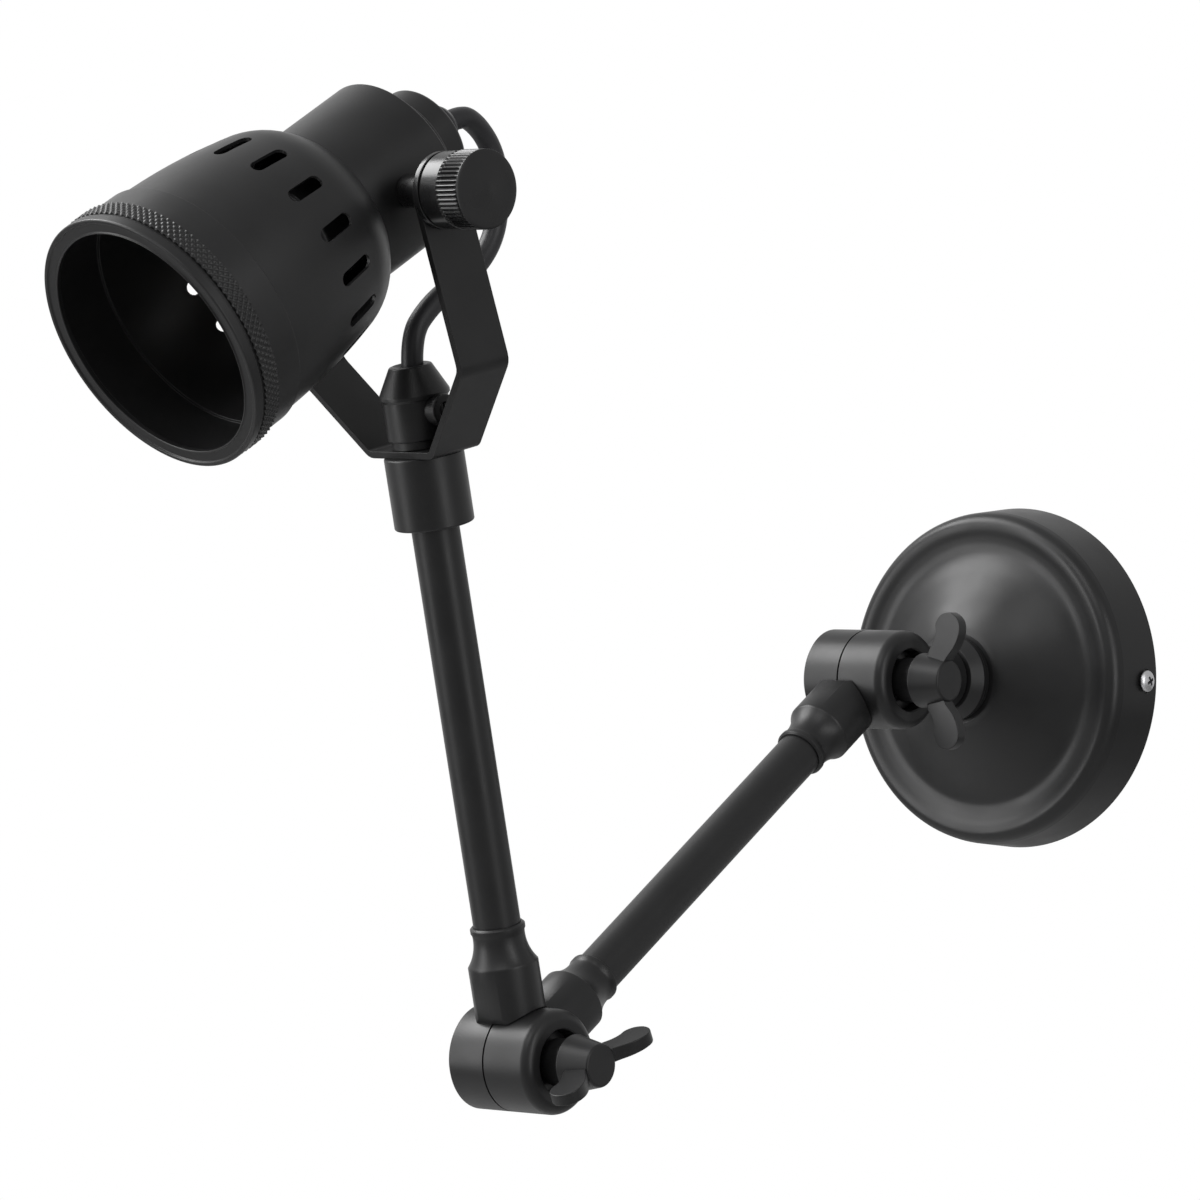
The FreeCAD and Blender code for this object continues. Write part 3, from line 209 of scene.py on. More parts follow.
def make_finishes():
    """Every finish: its material's name, colour, metal, roughness and spread, grain, depth, patches."""
    s = sizes()
    dark_zinc = [0.6 * part for part in s.zinc]
    for finish, *look in (
            ("black_coat", "black_coat", s.coat, 0.0, 0.40, 0.05, 2600.0, 0.16),
            ("steel", "zinc_steel", s.zinc, 1.0, 0.34, 0.08, 1500.0, 0.10, 240.0),
            ("brass", "plain_brass", s.brass, 1.0, 0.30, 0.08, 1500.0, 0.08, 240.0),
            ("black_plastic", "black_moulding", s.moulding, 0.0, 0.34, 0.05, 1800.0, 0.06),
            ("pale_plastic", "pale_moulding", s.terminal, 0.0, 0.45, 0.06, 1600.0, 0.06),
            ("cord_sheath", "cord_sheath", s.sheath, 0.0, 0.46, 0.06, 2400.0, 0.16),
            ("black_screw", "dark_zinc", dark_zinc, 1.0, 0.36, 0.08, 1500.0, 0.1),
            ("blackened", "blackened_steel", s.coat, 0.0, 0.30, 0.06, 1500.0, 0.1, 240.0),
            ("satin_black", "satin_black", s.coat, 0.0, 0.27, 0.05, 2600.0, 0.08)):
        FINISHES[finish] = grained(*look)


# ------------------------------------------------------------ shapes
def link(name, mesh):
    """New object for a mesh, in the scene."""
    piece = bpy.data.objects.new(name, mesh)
    bpy.context.scene.collection.objects.link(piece)
    return piece


def drop(piece):
    """Remove a helper object together with its mesh."""
    mesh = piece.data
    bpy.data.objects.remove(piece)
    bpy.data.meshes.remove(mesh)


def made(name, work, place=None):
    """Object from a bmesh whose millimetres become the row frame's metres."""
    bmesh.ops.recalc_face_normals(work, faces=work.faces)
    mesh = bpy.data.meshes.new(name)
    work.to_mesh(mesh)
    work.free()
    mesh.transform(Matrix.Scale(MM, 4))
    if place is not None:
        mesh.transform(place)
    return link(name, mesh)


def finished(piece, finish, body, *nodes, sharp=32, slot=None):
    """Shading, finish, the body it rides on and the CAD nodes that it stands for."""
    mesh = piece.data
    mesh.materials.clear()
    mesh.materials.append(FINISHES[finish])
    mesh.polygons.foreach_set("use_smooth", [True] * len(mesh.polygons))
    mesh.set_sharp_from_angle(angle=math.radians(sharp))
    even = piece.modifiers.new("even_normals", "WEIGHTED_NORMAL")
    even.keep_sharp = True
    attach(piece, body)
    if nodes:
        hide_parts(*nodes)
    return piece


def arc(start, end, radius, steps=10):
    """Points between two others on an arc; a negative radius bulges to the right of the way."""
    start, end = Vector(start), Vector(end)
    chord = end - start
    side = Vector((-chord.y, chord.x)).normalized()
    rise = math.sqrt(max(radius ** 2 - (chord.length / 2) ** 2, 0.0))
    middle = (start + end) / 2 + side * (rise if radius < 0 else -rise)
    first = math.atan2(start.y - middle.y, start.x - middle.x)
    turn = math.atan2(end.y - middle.y, end.x - middle.x) - first
    turn = (turn + math.pi) % (2 * math.pi) - math.pi
    return [(middle.x + abs(radius) * math.cos(first + turn * k / steps),
             middle.y + abs(radius) * math.sin(first + turn * k / steps)) for k in range(1, steps)]


def eased(points, fillet, closed=True):
    """Outline with every corner rounded; a corner may name its own radius as a third number."""
    out, count = [], len(points)
    for index, point in enumerate(points):
        here = Vector(point[:2])
        radius = point[2] if len(point) == 3 else fillet
        at_end = not closed and index in (0, count - 1)
        back = Vector(points[index - 1][:2]) - here
        ahead = Vector(points[(index + 1) % count][:2]) - here
        turn = math.pi - back.angle(ahead) if not at_end else 0.0
        if at_end or radius <= 0 or turn < math.radians(12):
            out.append(tuple(here))
            continue
        cut = min(radius * math.tan(turn / 2), 0.45 * min(back.length, ahead.length))
        radius = cut / math.tan(turn / 2)
        centre = here + (back.normalized() + ahead.normalized()).normalized() * math.hypot(cut, radius)
        first, last = [here + way.normalized() * cut - centre for way in (back, ahead)]
        start = math.atan2(first.y, first.x)
        sweep = (math.atan2(last.y, last.x) - start + math.pi) % (2 * math.pi) - math.pi
        steps = max(2, round(math.degrees(turn) / 15))
        out += [(centre.x + radius * math.cos(start + sweep * k / steps),
                 centre.y + radius * math.sin(start + sweep * k / steps)) for k in range(steps + 1)]
    return out


def flowing(points, steps=6, closed=False):
    """Smooth curve that passes through every point."""
    spots = [Vector(point) for point in points]
    if closed:
        spots = [spots[-1]] + spots + spots[:2]
    else:
        spots = [2 * spots[0] - spots[1]] + spots + [2 * spots[-1] - spots[-2]]
    out = []
    for a, b, c, d in zip(spots, spots[1:], spots[2:], spots[3:]):
        for k in range(steps):
            t = k / steps
            out.append(tuple(0.5 * (2 * b + (c - a) * t + (2 * a - 5 * b + 4 * c - d) * t ** 2
                                    + (3 * b - a - 3 * c + d) * t ** 3)))
    return out if closed else out + [tuple(spots[-2])]


def lined(outline, wall):
    """Inner face of a sheet: the outline moved to the left of its way, and drawn backwards."""
    last, out = len(outline) - 1, []
    for index, (radius, height) in enumerate(outline):
        before, after = outline[max(index - 1, 0)], outline[min(index + 1, last)]
        way = (Vector(after) - Vector(before)).normalized()
        out.append((radius - way.y * wall, max(height + way.x * wall, 0.0)))
    return out[::-1]


def turned(name, outline, place, steps=96, closed=True, fillet=None, shift=None):
    """Outline of (radius, height) spun once round Z. `shift` may move points after the spin."""
    outline = eased(outline, sizes().edge / MM if fillet is None else fillet, closed)
    work = bmesh.new()
    points = [work.verts.new((radius, 0, height)) for radius, height in outline]
    pairs = list(zip(points, points[1:])) + ([(points[-1], points[0])] if closed else [])
    edges = [work.edges.new(pair) for pair in pairs]
    bmesh.ops.spin(work, geom=points + edges, cent=(0, 0, 0), axis=(0, 0, 1), angle=2 * math.pi,
                   steps=steps, use_merge=True)
    bmesh.ops.remove_doubles(work, verts=work.verts, dist=1e-5)
    for point in work.verts if shift else ():
        point.co = shift(point.co)
    return made(name, work, place)


def prism(work, outline, low, high, across=lambda x, y, z: (x, y, z)):
    """Closed prism on an outline, between two heights; `across` says where a point goes."""
    base = work.faces.new([work.verts.new(across(x, y, low)) for x, y in outline])
    grown = bmesh.ops.extrude_face_region(work, geom=[base])["geom"]
    top = [item for item in grown if isinstance(item, bmesh.types.BMVert)]
    rise = Vector(across(0, 0, high)) - Vector(across(0, 0, low))
    bmesh.ops.translate(work, verts=top, vec=rise)


def softened(work, width, segments=3, angle=40):
    """Bevel every edge of the bmesh that is sharper than an angle."""
    limit = math.radians(angle)
    edges = [edge for edge in work.edges if edge.is_manifold and edge.calc_face_angle() > limit]
    bmesh.ops.bevel(work, geom=edges, offset=width, offset_type="OFFSET", affect="EDGES",
                    segments=segments, profile=0.5, material=-1, clamp_overlap=True)


def carved(piece, cutter):
    """Cut worked out at once, so that the piece keeps no cutter."""
    change = piece.modifiers.new("cut", "BOOLEAN")
    change.object = cutter
    change.operation = "DIFFERENCE"
    change.solver = "EXACT"
    result = bpy.data.meshes.new_from_object(piece.evaluated_get(bpy.context.evaluated_depsgraph_get()))
    piece.modifiers.clear()
    old, piece.data = piece.data, result
    bpy.data.meshes.remove(old)
    drop(cutter)
    return piece


def edge_softener(piece, width, segments=2, angle=50):
    """Bevel modifier that breaks the piece's sharp edges by a width in millimetres."""
    bevel = piece.modifiers.new("edge", "BEVEL")
    bevel.width = width * MM
    bevel.segments = segments
    bevel.limit_method = "ANGLE"
    bevel.angle_limit = math.radians(angle)
    bevel.use_clamp_overlap = True
    return piece


# ------------------------------------------------------------ wall side
def screw_place(way):
    """Place of a canopy screw, its own Z out of the canopy's side."""
    return Matrix.Translation((0, -SCREW_HEIGHT * MM, 0)) @ stand(Vector(), Y, X * way)


class LAMP_OT_canopy(bpy.types.Operator):
    """Pressed canopy with its rounded rim, valley and dome, and the boss on it"""
    bl_idname = "lamp.canopy"
    bl_label = "Canopy"

    def execute(self, context):
        s = sizes()
        radius, wall = s.canopy_radius / MM, s.canopy_wall / MM
        side = [(0.0, 0.0), (1.45, 15.2), (1.75, 17.6)]
        rim = [(2.35, 19.7), (3.6, 21.4), (5.4, 22.3), (7.6, 22.2)]
        valley = [(10.5, 21.4), (13.5, 20.9), (16.5, 21.2)]
        dome = [(21, 23.1), (27, 26.8), (33, 30.6), (38, 33.4), (41.5, 35.1), (44.0, DOME_TOP)]
        skin = flowing([(radius - inset, height) for inset, height in side + rim + valley + dome])
        skin.append((NIPPLE_HOLE, DOME_TOP))
        canopy = turned("canopy_cover", skin + lined(skin, wall), WALL, steps=160, fillet=0.3)
        shank, seat, floor = 2.1, 4.3, 58.95
        for way in (1, -1):
            drill = turned("drill", [
                (0, 50), (shank, 50), (shank, floor), (seat, floor), (seat, 70), (0, 70)],
                screw_place(way), steps=24, closed=False, fillet=0)
            carved(canopy, drill)
        finished(canopy, "black_coat", "wall_side", "canopy")
        boss, neck, foot, end = s.boss_radius / MM, 14.4, DOME_TOP + 0.02, 43.6
        ring = turned("dome_boss", [
            (NIPPLE_HOLE, foot), (neck, foot), (neck, foot + 1.6, 0.6), (boss - 0.1, 38.6, 0.15),
            (boss, 39.8, 0.2), (12.3, end, 0.3), (NIPPLE_HOLE, end)], WALL)
        finished(ring, "black_coat", "wall_side", "canopy_boss")
        return {"FINISHED"}


class LAMP_OT_canopy_screws(bpy.types.Operator):
    """The two cross-slot screws in the canopy's side"""
    bl_idname = "lamp.canopy_screws"
    bl_label = "Canopy screws"

    def execute(self, context):
        tip, seat, crown = 52.4, 59.9, 61.8
        arm, half, turn = 1.7, 0.5, math.radians(28)
        quarter = [(-half, -arm), (half, -arm), (half, -half)]
        cross = []
        for step in range(4):
            way = Matrix.Rotation(turn + step * math.pi / 2, 2)
            cross += [tuple(way @ Vector(corner)) for corner in quarter]
        for side, way in (("right", 1), ("left", -1)):
            screw = turned(side + "_side_screw", [
                (0, tip), (1.9, tip), (1.9, seat), (3.75, seat), (3.75, seat + 0.6, 0.5), (3.1, 61.1, 2.0),
                (1.4, 61.75, 3.0), (0, crown)], screw_place(way), steps=64, closed=False, fillet=0.15)
            work = bmesh.new()
            prism(work, cross, 59.6, 63.0)
            carved(screw, made("cross", work, screw_place(way)))
            finished(screw, "black_screw", "wall_side", side + "_canopy_screw", slot="steel")
        return {"FINISHED"}


# ------------------------------------------------------------ arms
class LAMP_OT_tubes(bpy.types.Operator):
    """The two arm tubes and the collar at the upper one's end"""
    bl_idname = "lamp.tubes"
    bl_label = "Tubes and collar"

    def execute(self, context):
        s = sizes()
        outer, bore = s.tube_radius / MM, (s.tube_radius - s.tube_wall) / MM
        span = (ELBOW - SHOULDER).length / MM
        top = (SWIVEL - ELBOW).length / MM - s.strap_thickness / MM
        cap, long = 6, 23.1
        for name, place, end, body in (("lower_arm_tube", LOWER, span - TUBE_SEAT, "lower_arm"),
                                       ("upper_arm_tube", UPPER, top - cap, "upper_arm")):
            tube = turned(name + "_drawn", [(bore, TUBE_SEAT), (outer, TUBE_SEAT), (outer, end), (bore, end)],
                          place, steps=80)
            finished(tube, "black_coat", body, name)
        radius, low, hole = s.collar_radius / MM, top - long, outer + TUBE_FIT
        collar = turned("yoke_collar", [
            (hole, low), (radius, low, 0.7), (radius, top, 0.7), (NIPPLE_HOLE, top),
            (NIPPLE_HOLE, top - cap), (hole, top - cap)], UPPER, steps=96)
        finished(collar, "black_coat", "upper_arm", "upper_arm_collar")
        return {"FINISHED"}


class LAMP_OT_wing_nuts(bpy.types.Operator):
    """Cast wing nuts of the shoulder and the elbow"""
    bl_idname = "lamp.wing_nuts"
    bl_label = "Wing nuts"

    def execute(self, context):
        neck, start, end, bore_end = 7.6, 23.9, 35.3, 32.8
        root, half_thickness = 5.0, 2.2
        paddle = flowing([
            (root, 27.4), (9.6, 27.6), (13.2, 29.6), (16.4, 30.4), (19.4, 30.3), (22.2, 32.0),
            (23.3, 35.2), (22.2, 38.5), (19.4, 40.5), (15.4, 40.3), (11.4, 38.4), (8.0, 35.6),
            (6.2, 34.5), (root, 34.3)], 4, closed=True)
        for side, centre, turn in (("shoulder", SHOULDER, 0.0), ("elbow", ELBOW, -65.0)):
            place = stand(centre, Z, X) @ Matrix.Rotation(math.radians(turn), 4, "Z")
            hub = turned(side + "_wing_hub", [
                (STUD_HOLE, 16.1), (neck, 16.1), (neck, start), (9.5, start, 0.5), (8.7, 27.0, 6.0),
                (6.9, end, 0.9), (0, end), (0, bore_end), (STUD_HOLE, bore_end)], place, steps=72)
            finished(hub, "black_coat", side + "_wing_nut", side + "_wing_nut")
            work = bmesh.new()
            for flip in (1, -1):
                prism(work, paddle, -half_thickness, half_thickness,
                      lambda x, y, z, flip=flip: (x * flip, z * flip, y))
            for point in work.verts:
                away = min(max((abs(point.co.x) - 7.0) / 16.0, 0.0), 1.0)
                point.co.y *= 1.08 - 0.24 * away
            softened(work, 1.0, 4)
            wings = made(side + "_wings", work, place)
            finished(wings, "black_coat", side + "_wing_nut", sharp=50)
        return {"FINISHED"}


# ------------------------------------------------------------ yoke
class LAMP_OT_yoke(bpy.types.Operator):
    """Bent strap yoke: its stations run up one leg, over the base and up the other"""
    bl_idname = "lamp.yoke"
    bl_label = "Yoke"

    def execute(self, context):
        s = sizes()
        width, thick = s.strap_width / MM / 2, s.strap_thickness / MM
        height = (PIVOT - SWIVEL).length / MM
        foot_half, bend_half, bend_rise, top_half = 13.9, 38.0, 27.3, 39.85
        foot_round, bend_round = 2.0, 5.0
        inner = eased([(0, 0), (foot_half, 0, foot_round), (bend_half, bend_rise, bend_round),
                       (top_half, height)], 0, closed=False)
        lower = math.atan2(bend_rise, bend_half - foot_half)
        upper = math.atan2(height - bend_rise, top_half - bend_half)
        mitre, middle = thick / math.cos((upper - lower) / 2), (upper + lower) / 2
        foot = (foot_half + thick * math.tan(lower / 2), -thick, foot_round + thick)
        bend = (bend_half + mitre * math.sin(middle), bend_rise - mitre * math.cos(middle),
                bend_round + thick)
        tip = (top_half + thick / math.sin(upper), height)
        outer = eased([(0, -thick), foot, bend, tip], 0, closed=False)
        front, side, leg = YOKE_FRONT, YOKE_SIDE, LEG_WAY
        across = (front - leg * front.dot(leg)).normalized()
        rows = []
        for (x_in, h_in), (x_out, h_out) in zip(inner[:-1], outer[:-1]):
            rows.append([side * x + leg * h + front * t for x, h, t in (
                (x_in, h_in, -width), (x_in, h_in, width), (x_out, h_out, width), (x_out, h_out, -width))])
        reach = width * across.dot(front)
        opening = 0.033
        for step in range(10):
            angle = math.radians(10 * step)
            chord, rise = reach * math.cos(angle), reach * math.sin(angle)
            x_in = top_half + opening * rise
            x_out = x_in + thick
            rows.append([side * x + leg * (height + rise) + across * t for x, t in (
                (x_in, -chord), (x_in, chord), (x_out, chord), (x_out, -chord))])
        mirror = [[point - side * (2 * point.dot(side)) for point in row] for row in rows[:0:-1]]
        work = bmesh.new()
        grid = [[work.verts.new(point) for point in row] for row in mirror + rows]
        for low, high in zip(grid, grid[1:]):
            for k in range(4):
                work.faces.new((low[k], low[(k + 1) % 4], high[(k + 1) % 4], high[k]))
        work.faces.new(grid[0])
        work.faces.new(grid[-1])
        bmesh.ops.remove_doubles(work, verts=work.verts, dist=1e-3)
        bmesh.ops.dissolve_degenerate(work, edges=work.edges, dist=1e-3)
        strap = made("yoke_strap", work, Matrix.Translation(SWIVEL))
        edge_softener(strap, 0.35, 3, 50)
        finished(strap, "black_coat", "yoke", "yoke", sharp=40)
        return {"FINISHED"}


class LAMP_OT_cord_grip(bpy.types.Operator):
    """Cord grip on the yoke with its side boss and slotted set screw"""
    bl_idname = "lamp.cord_grip"
    bl_label = "Cord grip"

    def execute(self, context):
        neck, body, skirt = 9.4, 10.5, 11.2
        grip = turned("grip_body", [
            (NIPPLE_HOLE, 0.05), (neck, 0.05), (neck, 2.8), (body, 2.8, 0.6), (body, 15.2), (skirt, 16.0),
            (skirt, 17.0, 0.4), (6.8, 25.6, 0.7), (5.8, 25.9, 0.5), (3.8, 25.0), (3.8, 7.5),
            (NIPPLE_HOLE, 7.5)], YOKE, steps=96)
        finished(grip, "black_coat", "yoke", "cord_grip")
        boss_height, tap, boss_radius, boss_end = 11.6, 2.25, 5.0, 13.6
        place = YOKE @ Matrix.Translation((0, 0, boss_height * MM)) @ Matrix.Rotation(math.pi / 2, 4, "Y")
        boss = turned("grip_boss", [
            (tap, 6.0), (boss_radius, 6.0), (boss_radius, boss_end, 0.6), (2.6, boss_end, 0.2), (tap, 13.2)],
            place, steps=64)
        finished(boss, "black_coat", "yoke")
        screw = turned("grip_set_screw", [(0, 3.8), (2.2, 3.8), (2.2, 13.1, 0.3), (0, 13.1)], place,
                       steps=48, closed=False)
        work = bmesh.new()
        half = 0.35
        prism(work, [(-3, -half), (3, -half), (3, half), (-3, half)], 12.1, 15)
        carved(screw, made("slot", work, place))
        finished(screw, "blackened", "yoke", "cord_grip_screw", slot="steel")
        return {"FINISHED"}


# ------------------------------------------------------------ head
class LAMP_OT_shade(bpy.types.Operator):
    """Bell shade with its vent slots, and the barrel behind it"""
    bl_idname = "lamp.shade"
    bl_label = "Shade and barrel"

    def execute(self, context):
        s = sizes()
        barrel, wall, front = s.barrel_radius / MM, s.shade_wall / MM, s.shade_radius / MM
        back, waist, band = (29.5, 15.5), (36.5, 29.0), (front - 1.0, 70.8)
        skin = [back] + arc(back, waist, -24, 8) + [waist] + arc(waist, band, -220, 8) + [band]
        lining = [(r - wall * (0.75 if z < waist[1] else 0.98), z + wall * (0.65 if z < waist[1] else 0.15))
                  for r, z in skin]
        neck, start, end = barrel + 0.05, 14.7, 88.6
        shade = turned("bell_shade", [(neck, start), (28.7, start)] + skin + [
            (front, 71.3), (front, end), (front - wall, end), (front - wall, 71.0)] + lining[::-1] + [
            (neck, 16.4)], HEAD, steps=192, fillet=0.3)
        work = bmesh.new()
        reach, half, middle, first = 5.0, 2.3, 38.1, 13.5
        slot = [(-reach, -half), (reach, -half)] + arc((reach, -half), (reach, half), -half * 1.0005, 8)
        slot += [(reach, half), (-reach, half)] + arc((-reach, half), (-reach, -half), -half * 1.0005, 8)
        for step in range(s.vents):
            turn = math.radians(first + 360.0 / s.vents * step)
            ways = Vector((math.cos(turn), math.sin(turn), 0)), Vector((-math.sin(turn), math.cos(turn), 0))
            prism(work, slot, 30.0, 45.0,
                  lambda x, y, z, ways=ways: ways[0] * z + ways[1] * y + Vector((0, 0, middle + x)))
        carved(shade, made("slots", work, HEAD))
        finished(shade, "black_coat", "head", "shade", sharp=28)
        rear, mouth, sheet = -20, 16.5, 1.5
        body = turned("barrel_shell", [
            (NIPPLE_HOLE, rear), (barrel, rear, 0.9), (barrel, mouth), (barrel - sheet, mouth),
            (barrel - sheet, rear + sheet), (NIPPLE_HOLE, rear + sheet)], HEAD, steps=160)
        finished(body, "black_coat", "head", "head_barrel")
        return {"FINISHED"}


class LAMP_OT_front_ring(bpy.types.Operator):
    """Front ring: diamond-knurled band and turned-in lip"""
    bl_idname = "lamp.front_ring"
    bl_label = "Front ring"

    def execute(self, context):
        s = sizes()
        lip, crown, bore = s.ring_radius / MM, s.knurl_radius / MM, s.shade_radius / MM + 0.05
        ring = turned("lip_ring", [
            (bore, 81.6), (crown - 0.8, 81.6), (crown - 0.8, 87.9), (lip - 0.75, 87.95), (lip - 0.75, 88.6),
            (lip, 89.0), (lip, 92.3, 0.7), (lip - 1.3, 92.3, 0.3), (lip - 1.7, 91.7, 0.3), (38.4, 91.5, 0.3),
            (38.1, 92.0, 0.3), (37.7, 91.8, 0.2), (37.7, 90.3), (bore, 90.3)], HEAD, steps=192)
        finished(ring, "black_coat", "head", "front_ring")
        low, high, pitch = 81.75, 87.85, 2 * math.pi * crown / s.knurls
        rows, margin, depth = 24, 0.12, 0.55
        outline = [(crown - 0.95, low), (crown - depth, low)]
        outline += [(crown, low + margin + (high - low - 2 * margin) * k / rows) for k in range(rows + 1)]
        outline += [(crown - depth, high), (crown - 0.95, high)]

        def knurl(spot):
            around = math.atan2(spot.y, spot.x) / (2 * math.pi) * s.knurls
            radius = math.hypot(spot.x, spot.y)
            if radius < crown - 0.2:
                return spot
            climb = (spot.z - low) / pitch
            ridges = [abs(((way + 0.5) % 1.0) - 0.5) * 2 for way in (around + climb, around - climb)]
            inset = depth * (1 - min(min(ridges) * 1.35, 1.0))
            return Vector((spot.x * (radius - inset) / radius, spot.y * (radius - inset) / radius, spot.z))

        band = turned("ring_knurl", outline, HEAD, steps=s.knurls * 8, fillet=0, shift=knurl)
        finished(band, "black_coat", "head", sharp=60)
        return {"FINISHED"}


class LAMP_OT_rear_cap(bpy.types.Operator):
    """Stepped rear cap and the bushing that the cord enters by"""
    bl_idname = "lamp.rear_cap"
    bl_label = "Rear cap and bushing"

    def execute(self, context):
        wide, step, narrow, end, sheet = 19.6, -26.5, 16.8, -36.0, 1.5
        cap = turned("stepped_cap", [
            (wide - sheet, -20.0), (wide, -20.0, 0.3), (wide, step, 1.1), (narrow, step, 0.4),
            (narrow, end, 1.8), (5.85, end), (5.85, end + sheet), (narrow - sheet, end + sheet),
            (narrow - sheet, step + sheet), (wide - sheet, step + sheet)], HEAD, steps=128)
        finished(cap, "black_coat", "head", "rear_cap")
        neck, radius = 5.8, 7.0
        bush = turned("cord_bushing", [
            (CORD_HOLE, -33.1), (7.6, -33.1), (7.6, -34.4), (neck, -34.4), (neck, -36.1),
            (radius, -36.1, 0.5), (radius, -43.2, 1.4), (5.4, -45.0, 0.6), (CORD_HOLE, -45.0, 0.4)],
            HEAD, steps=80)
        finished(bush, "black_plastic", "head", "rear_bushing")
        return {"FINISHED"}


class LAMP_OT_knobs(bpy.types.Operator):
    """Thumb knobs with straight ribs, and the studs that they turn on"""
    bl_idname = "lamp.knobs"
    bl_label = "Knobs and studs"

    def execute(self, context):
        s = sizes()
        radius, base, end = s.knob_radius / MM, 42.6, 63.8
        start, stop = base + 10.7, end - 1.2

        def ribbed(spot):
            away = math.hypot(spot.x, spot.y)
            if away < radius - 0.5 or not start < spot.z < stop:
                return spot
            fade = min((spot.z - start) / 0.35, (stop - spot.z) / 0.35, 1.0)
            wave = 0.5 - 0.5 * math.cos(math.atan2(spot.y, spot.x) * s.ribs)
            inset = 0.62 * fade * wave
            return Vector((spot.x * (away - inset) / away, spot.y * (away - inset) / away, spot.z))

        stations = [start + 0.05 + (stop - start - 0.1) * k / 14 for k in range(15)]
        flange, waist, groove = radius - 0.3, radius - 0.35, radius - 1.1
        rim = radius - 0.9, end - 0.75
        foot = [(STUD_HOLE, base), (flange, base, 0.3), (flange, base + 2.2, 0.3), (groove, base + 2.2),
                (groove, base + 3.1), (waist, base + 3.1, 0.3), (waist, start - 0.3), (radius, start)]
        head = [(radius, stop), (radius, end - 0.95, 0.5), (*rim, 0.8)] + arc(rim, (0, end), 95, 6)
        head += [(0, end), (0, end - 3), (STUD_HOLE, end - 3)]
        outline = foot + [(radius, height) for height in stations] + head
        thread, root, shoulder = 3.0, 4.6, 5.2
        for side, place in PIVOTS.items():
            knob = turned(side + "_thumb_knob", outline, place, steps=s.ribs * 8, fillet=0.15, shift=ribbed)
            finished(knob, "satin_black", side + "_knob", side + "_knob", sharp=45, slot="black_coat")
            stud = turned(side + "_pivot_stud", [
                (0, 22.9), (root, 22.9), (root, 25.1), (thread, 25.1), (thread, 27.45),
                (shoulder, 27.45, 0.3), (shoulder, 39.3, 0.3), (thread, 39.35), (thread, 59.8), (0, 59.8)],
                place, steps=64, closed=False)
            finished(stud, "blackened", "head", side + "_stud", slot="steel")
        return {"FINISHED"}


class LAMP_OT_lampholder(bpy.types.Operator):
    """Moulded lampholder with its threaded brass-coloured shell"""
    bl_idname = "lamp.lampholder"
    bl_label = "Lampholder"

    def execute(self, context):
        rear, wide, mouth, lip, floor = -18.5, 19.0, 29.5, 14.4, 2.5
        shell = turned("holder_body", [
            (NIPPLE_HOLE, rear), (8.2, rear), (8.2, -8.5), (wide - 2, -8.5, 0.6), (wide, -6.5, 0.6),
            (wide, mouth, 1.0), (lip, mouth, 0.5), (lip, floor), (NIPPLE_HOLE, floor)], HEAD, steps=96)
        finished(shell, "black_plastic", "head", "lampholder")
        crest, depth, lead, low, high, rise = 13.85, 0.5, 3.625, 3.0, 29.0, 0.5
        heights = [step * rise for step in range(int((high - low) / rise) + 1)]
        thread = [(crest - depth * (0.5 + 0.5 * math.cos(2 * math.pi * height / lead)), low + height)
                  for height in heights]
        liner = turned("holder_thread", [(lip - 0.05, low), (lip - 0.05, high)] + thread[::-1], HEAD,
                       steps=96, fillet=0)
        finished(liner, "brass", "head", sharp=60)
        return {"FINISHED"}


# ------------------------------------------------------------ cord
# The cord's loop between the grip's axis and the head's, chosen from the photograph.
CORD_ROUTE = ((1.2, -309.5, 119.7), (2.2, -294.0, 128.0), (2.9, -283.5, 139.2), (3.2, -281.0, 153.7),
              (3.4, -283.7, 166.7), (3.6, -291.8, 175.6))
GRIP_REACH, HEAD_REACH = (12.0, 33.0), (51.0, 33.0)


class LAMP_OT_cord(bpy.types.Operator):
    """Cord from the yoke's grip up into the head's bushing"""
    bl_idname = "lamp.cord"
    bl_label = "Cord"

    def execute(self, context):
        route = [SWIVEL + UPPER_WAY * (reach * MM) for reach in GRIP_REACH]
        route += [Vector(spot) * MM for spot in CORD_ROUTE]
        route += [PIVOT - HEAD_WAY * (reach * MM) for reach in HEAD_REACH]
        line = bpy.data.curves.new("cord_line", "CURVE")
        line.dimensions = "3D"
        line.resolution_u = 16
        run = line.splines.new("NURBS")
        run.points.add(len(route) - 1)
        for point, spot in zip(run.points, route):
            point.co = (*spot, 1.0)
        run.order_u = 3
        run.use_endpoint_u = True
        guide = bpy.data.objects.new("cord_guide", line)
        context.scene.collection.objects.link(guide)
        graph = context.evaluated_depsgraph_get()
        path = bpy.data.meshes.new_from_object(guide.evaluated_get(graph))
        line.bevel_depth = sizes().cord_radius
        line.bevel_resolution = 7
        line.use_fill_caps = True
        graph = context.evaluated_depsgraph_get()
        mesh = bpy.data.meshes.new_from_object(guide.evaluated_get(graph))
        bpy.data.objects.remove(guide)
        bpy.data.meshes.remove(path)
        cord = link("lamp_cord", mesh)
        mesh.materials.clear()
        mesh.materials.append(FINISHES["cord_sheath"])
        mesh.polygons.foreach_set("use_smooth", [True] * len(mesh.polygons))
        mesh.set_sharp_from_angle(angle=math.radians(40))
        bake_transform(cord)
        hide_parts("cord")
        return {"FINISHED"}


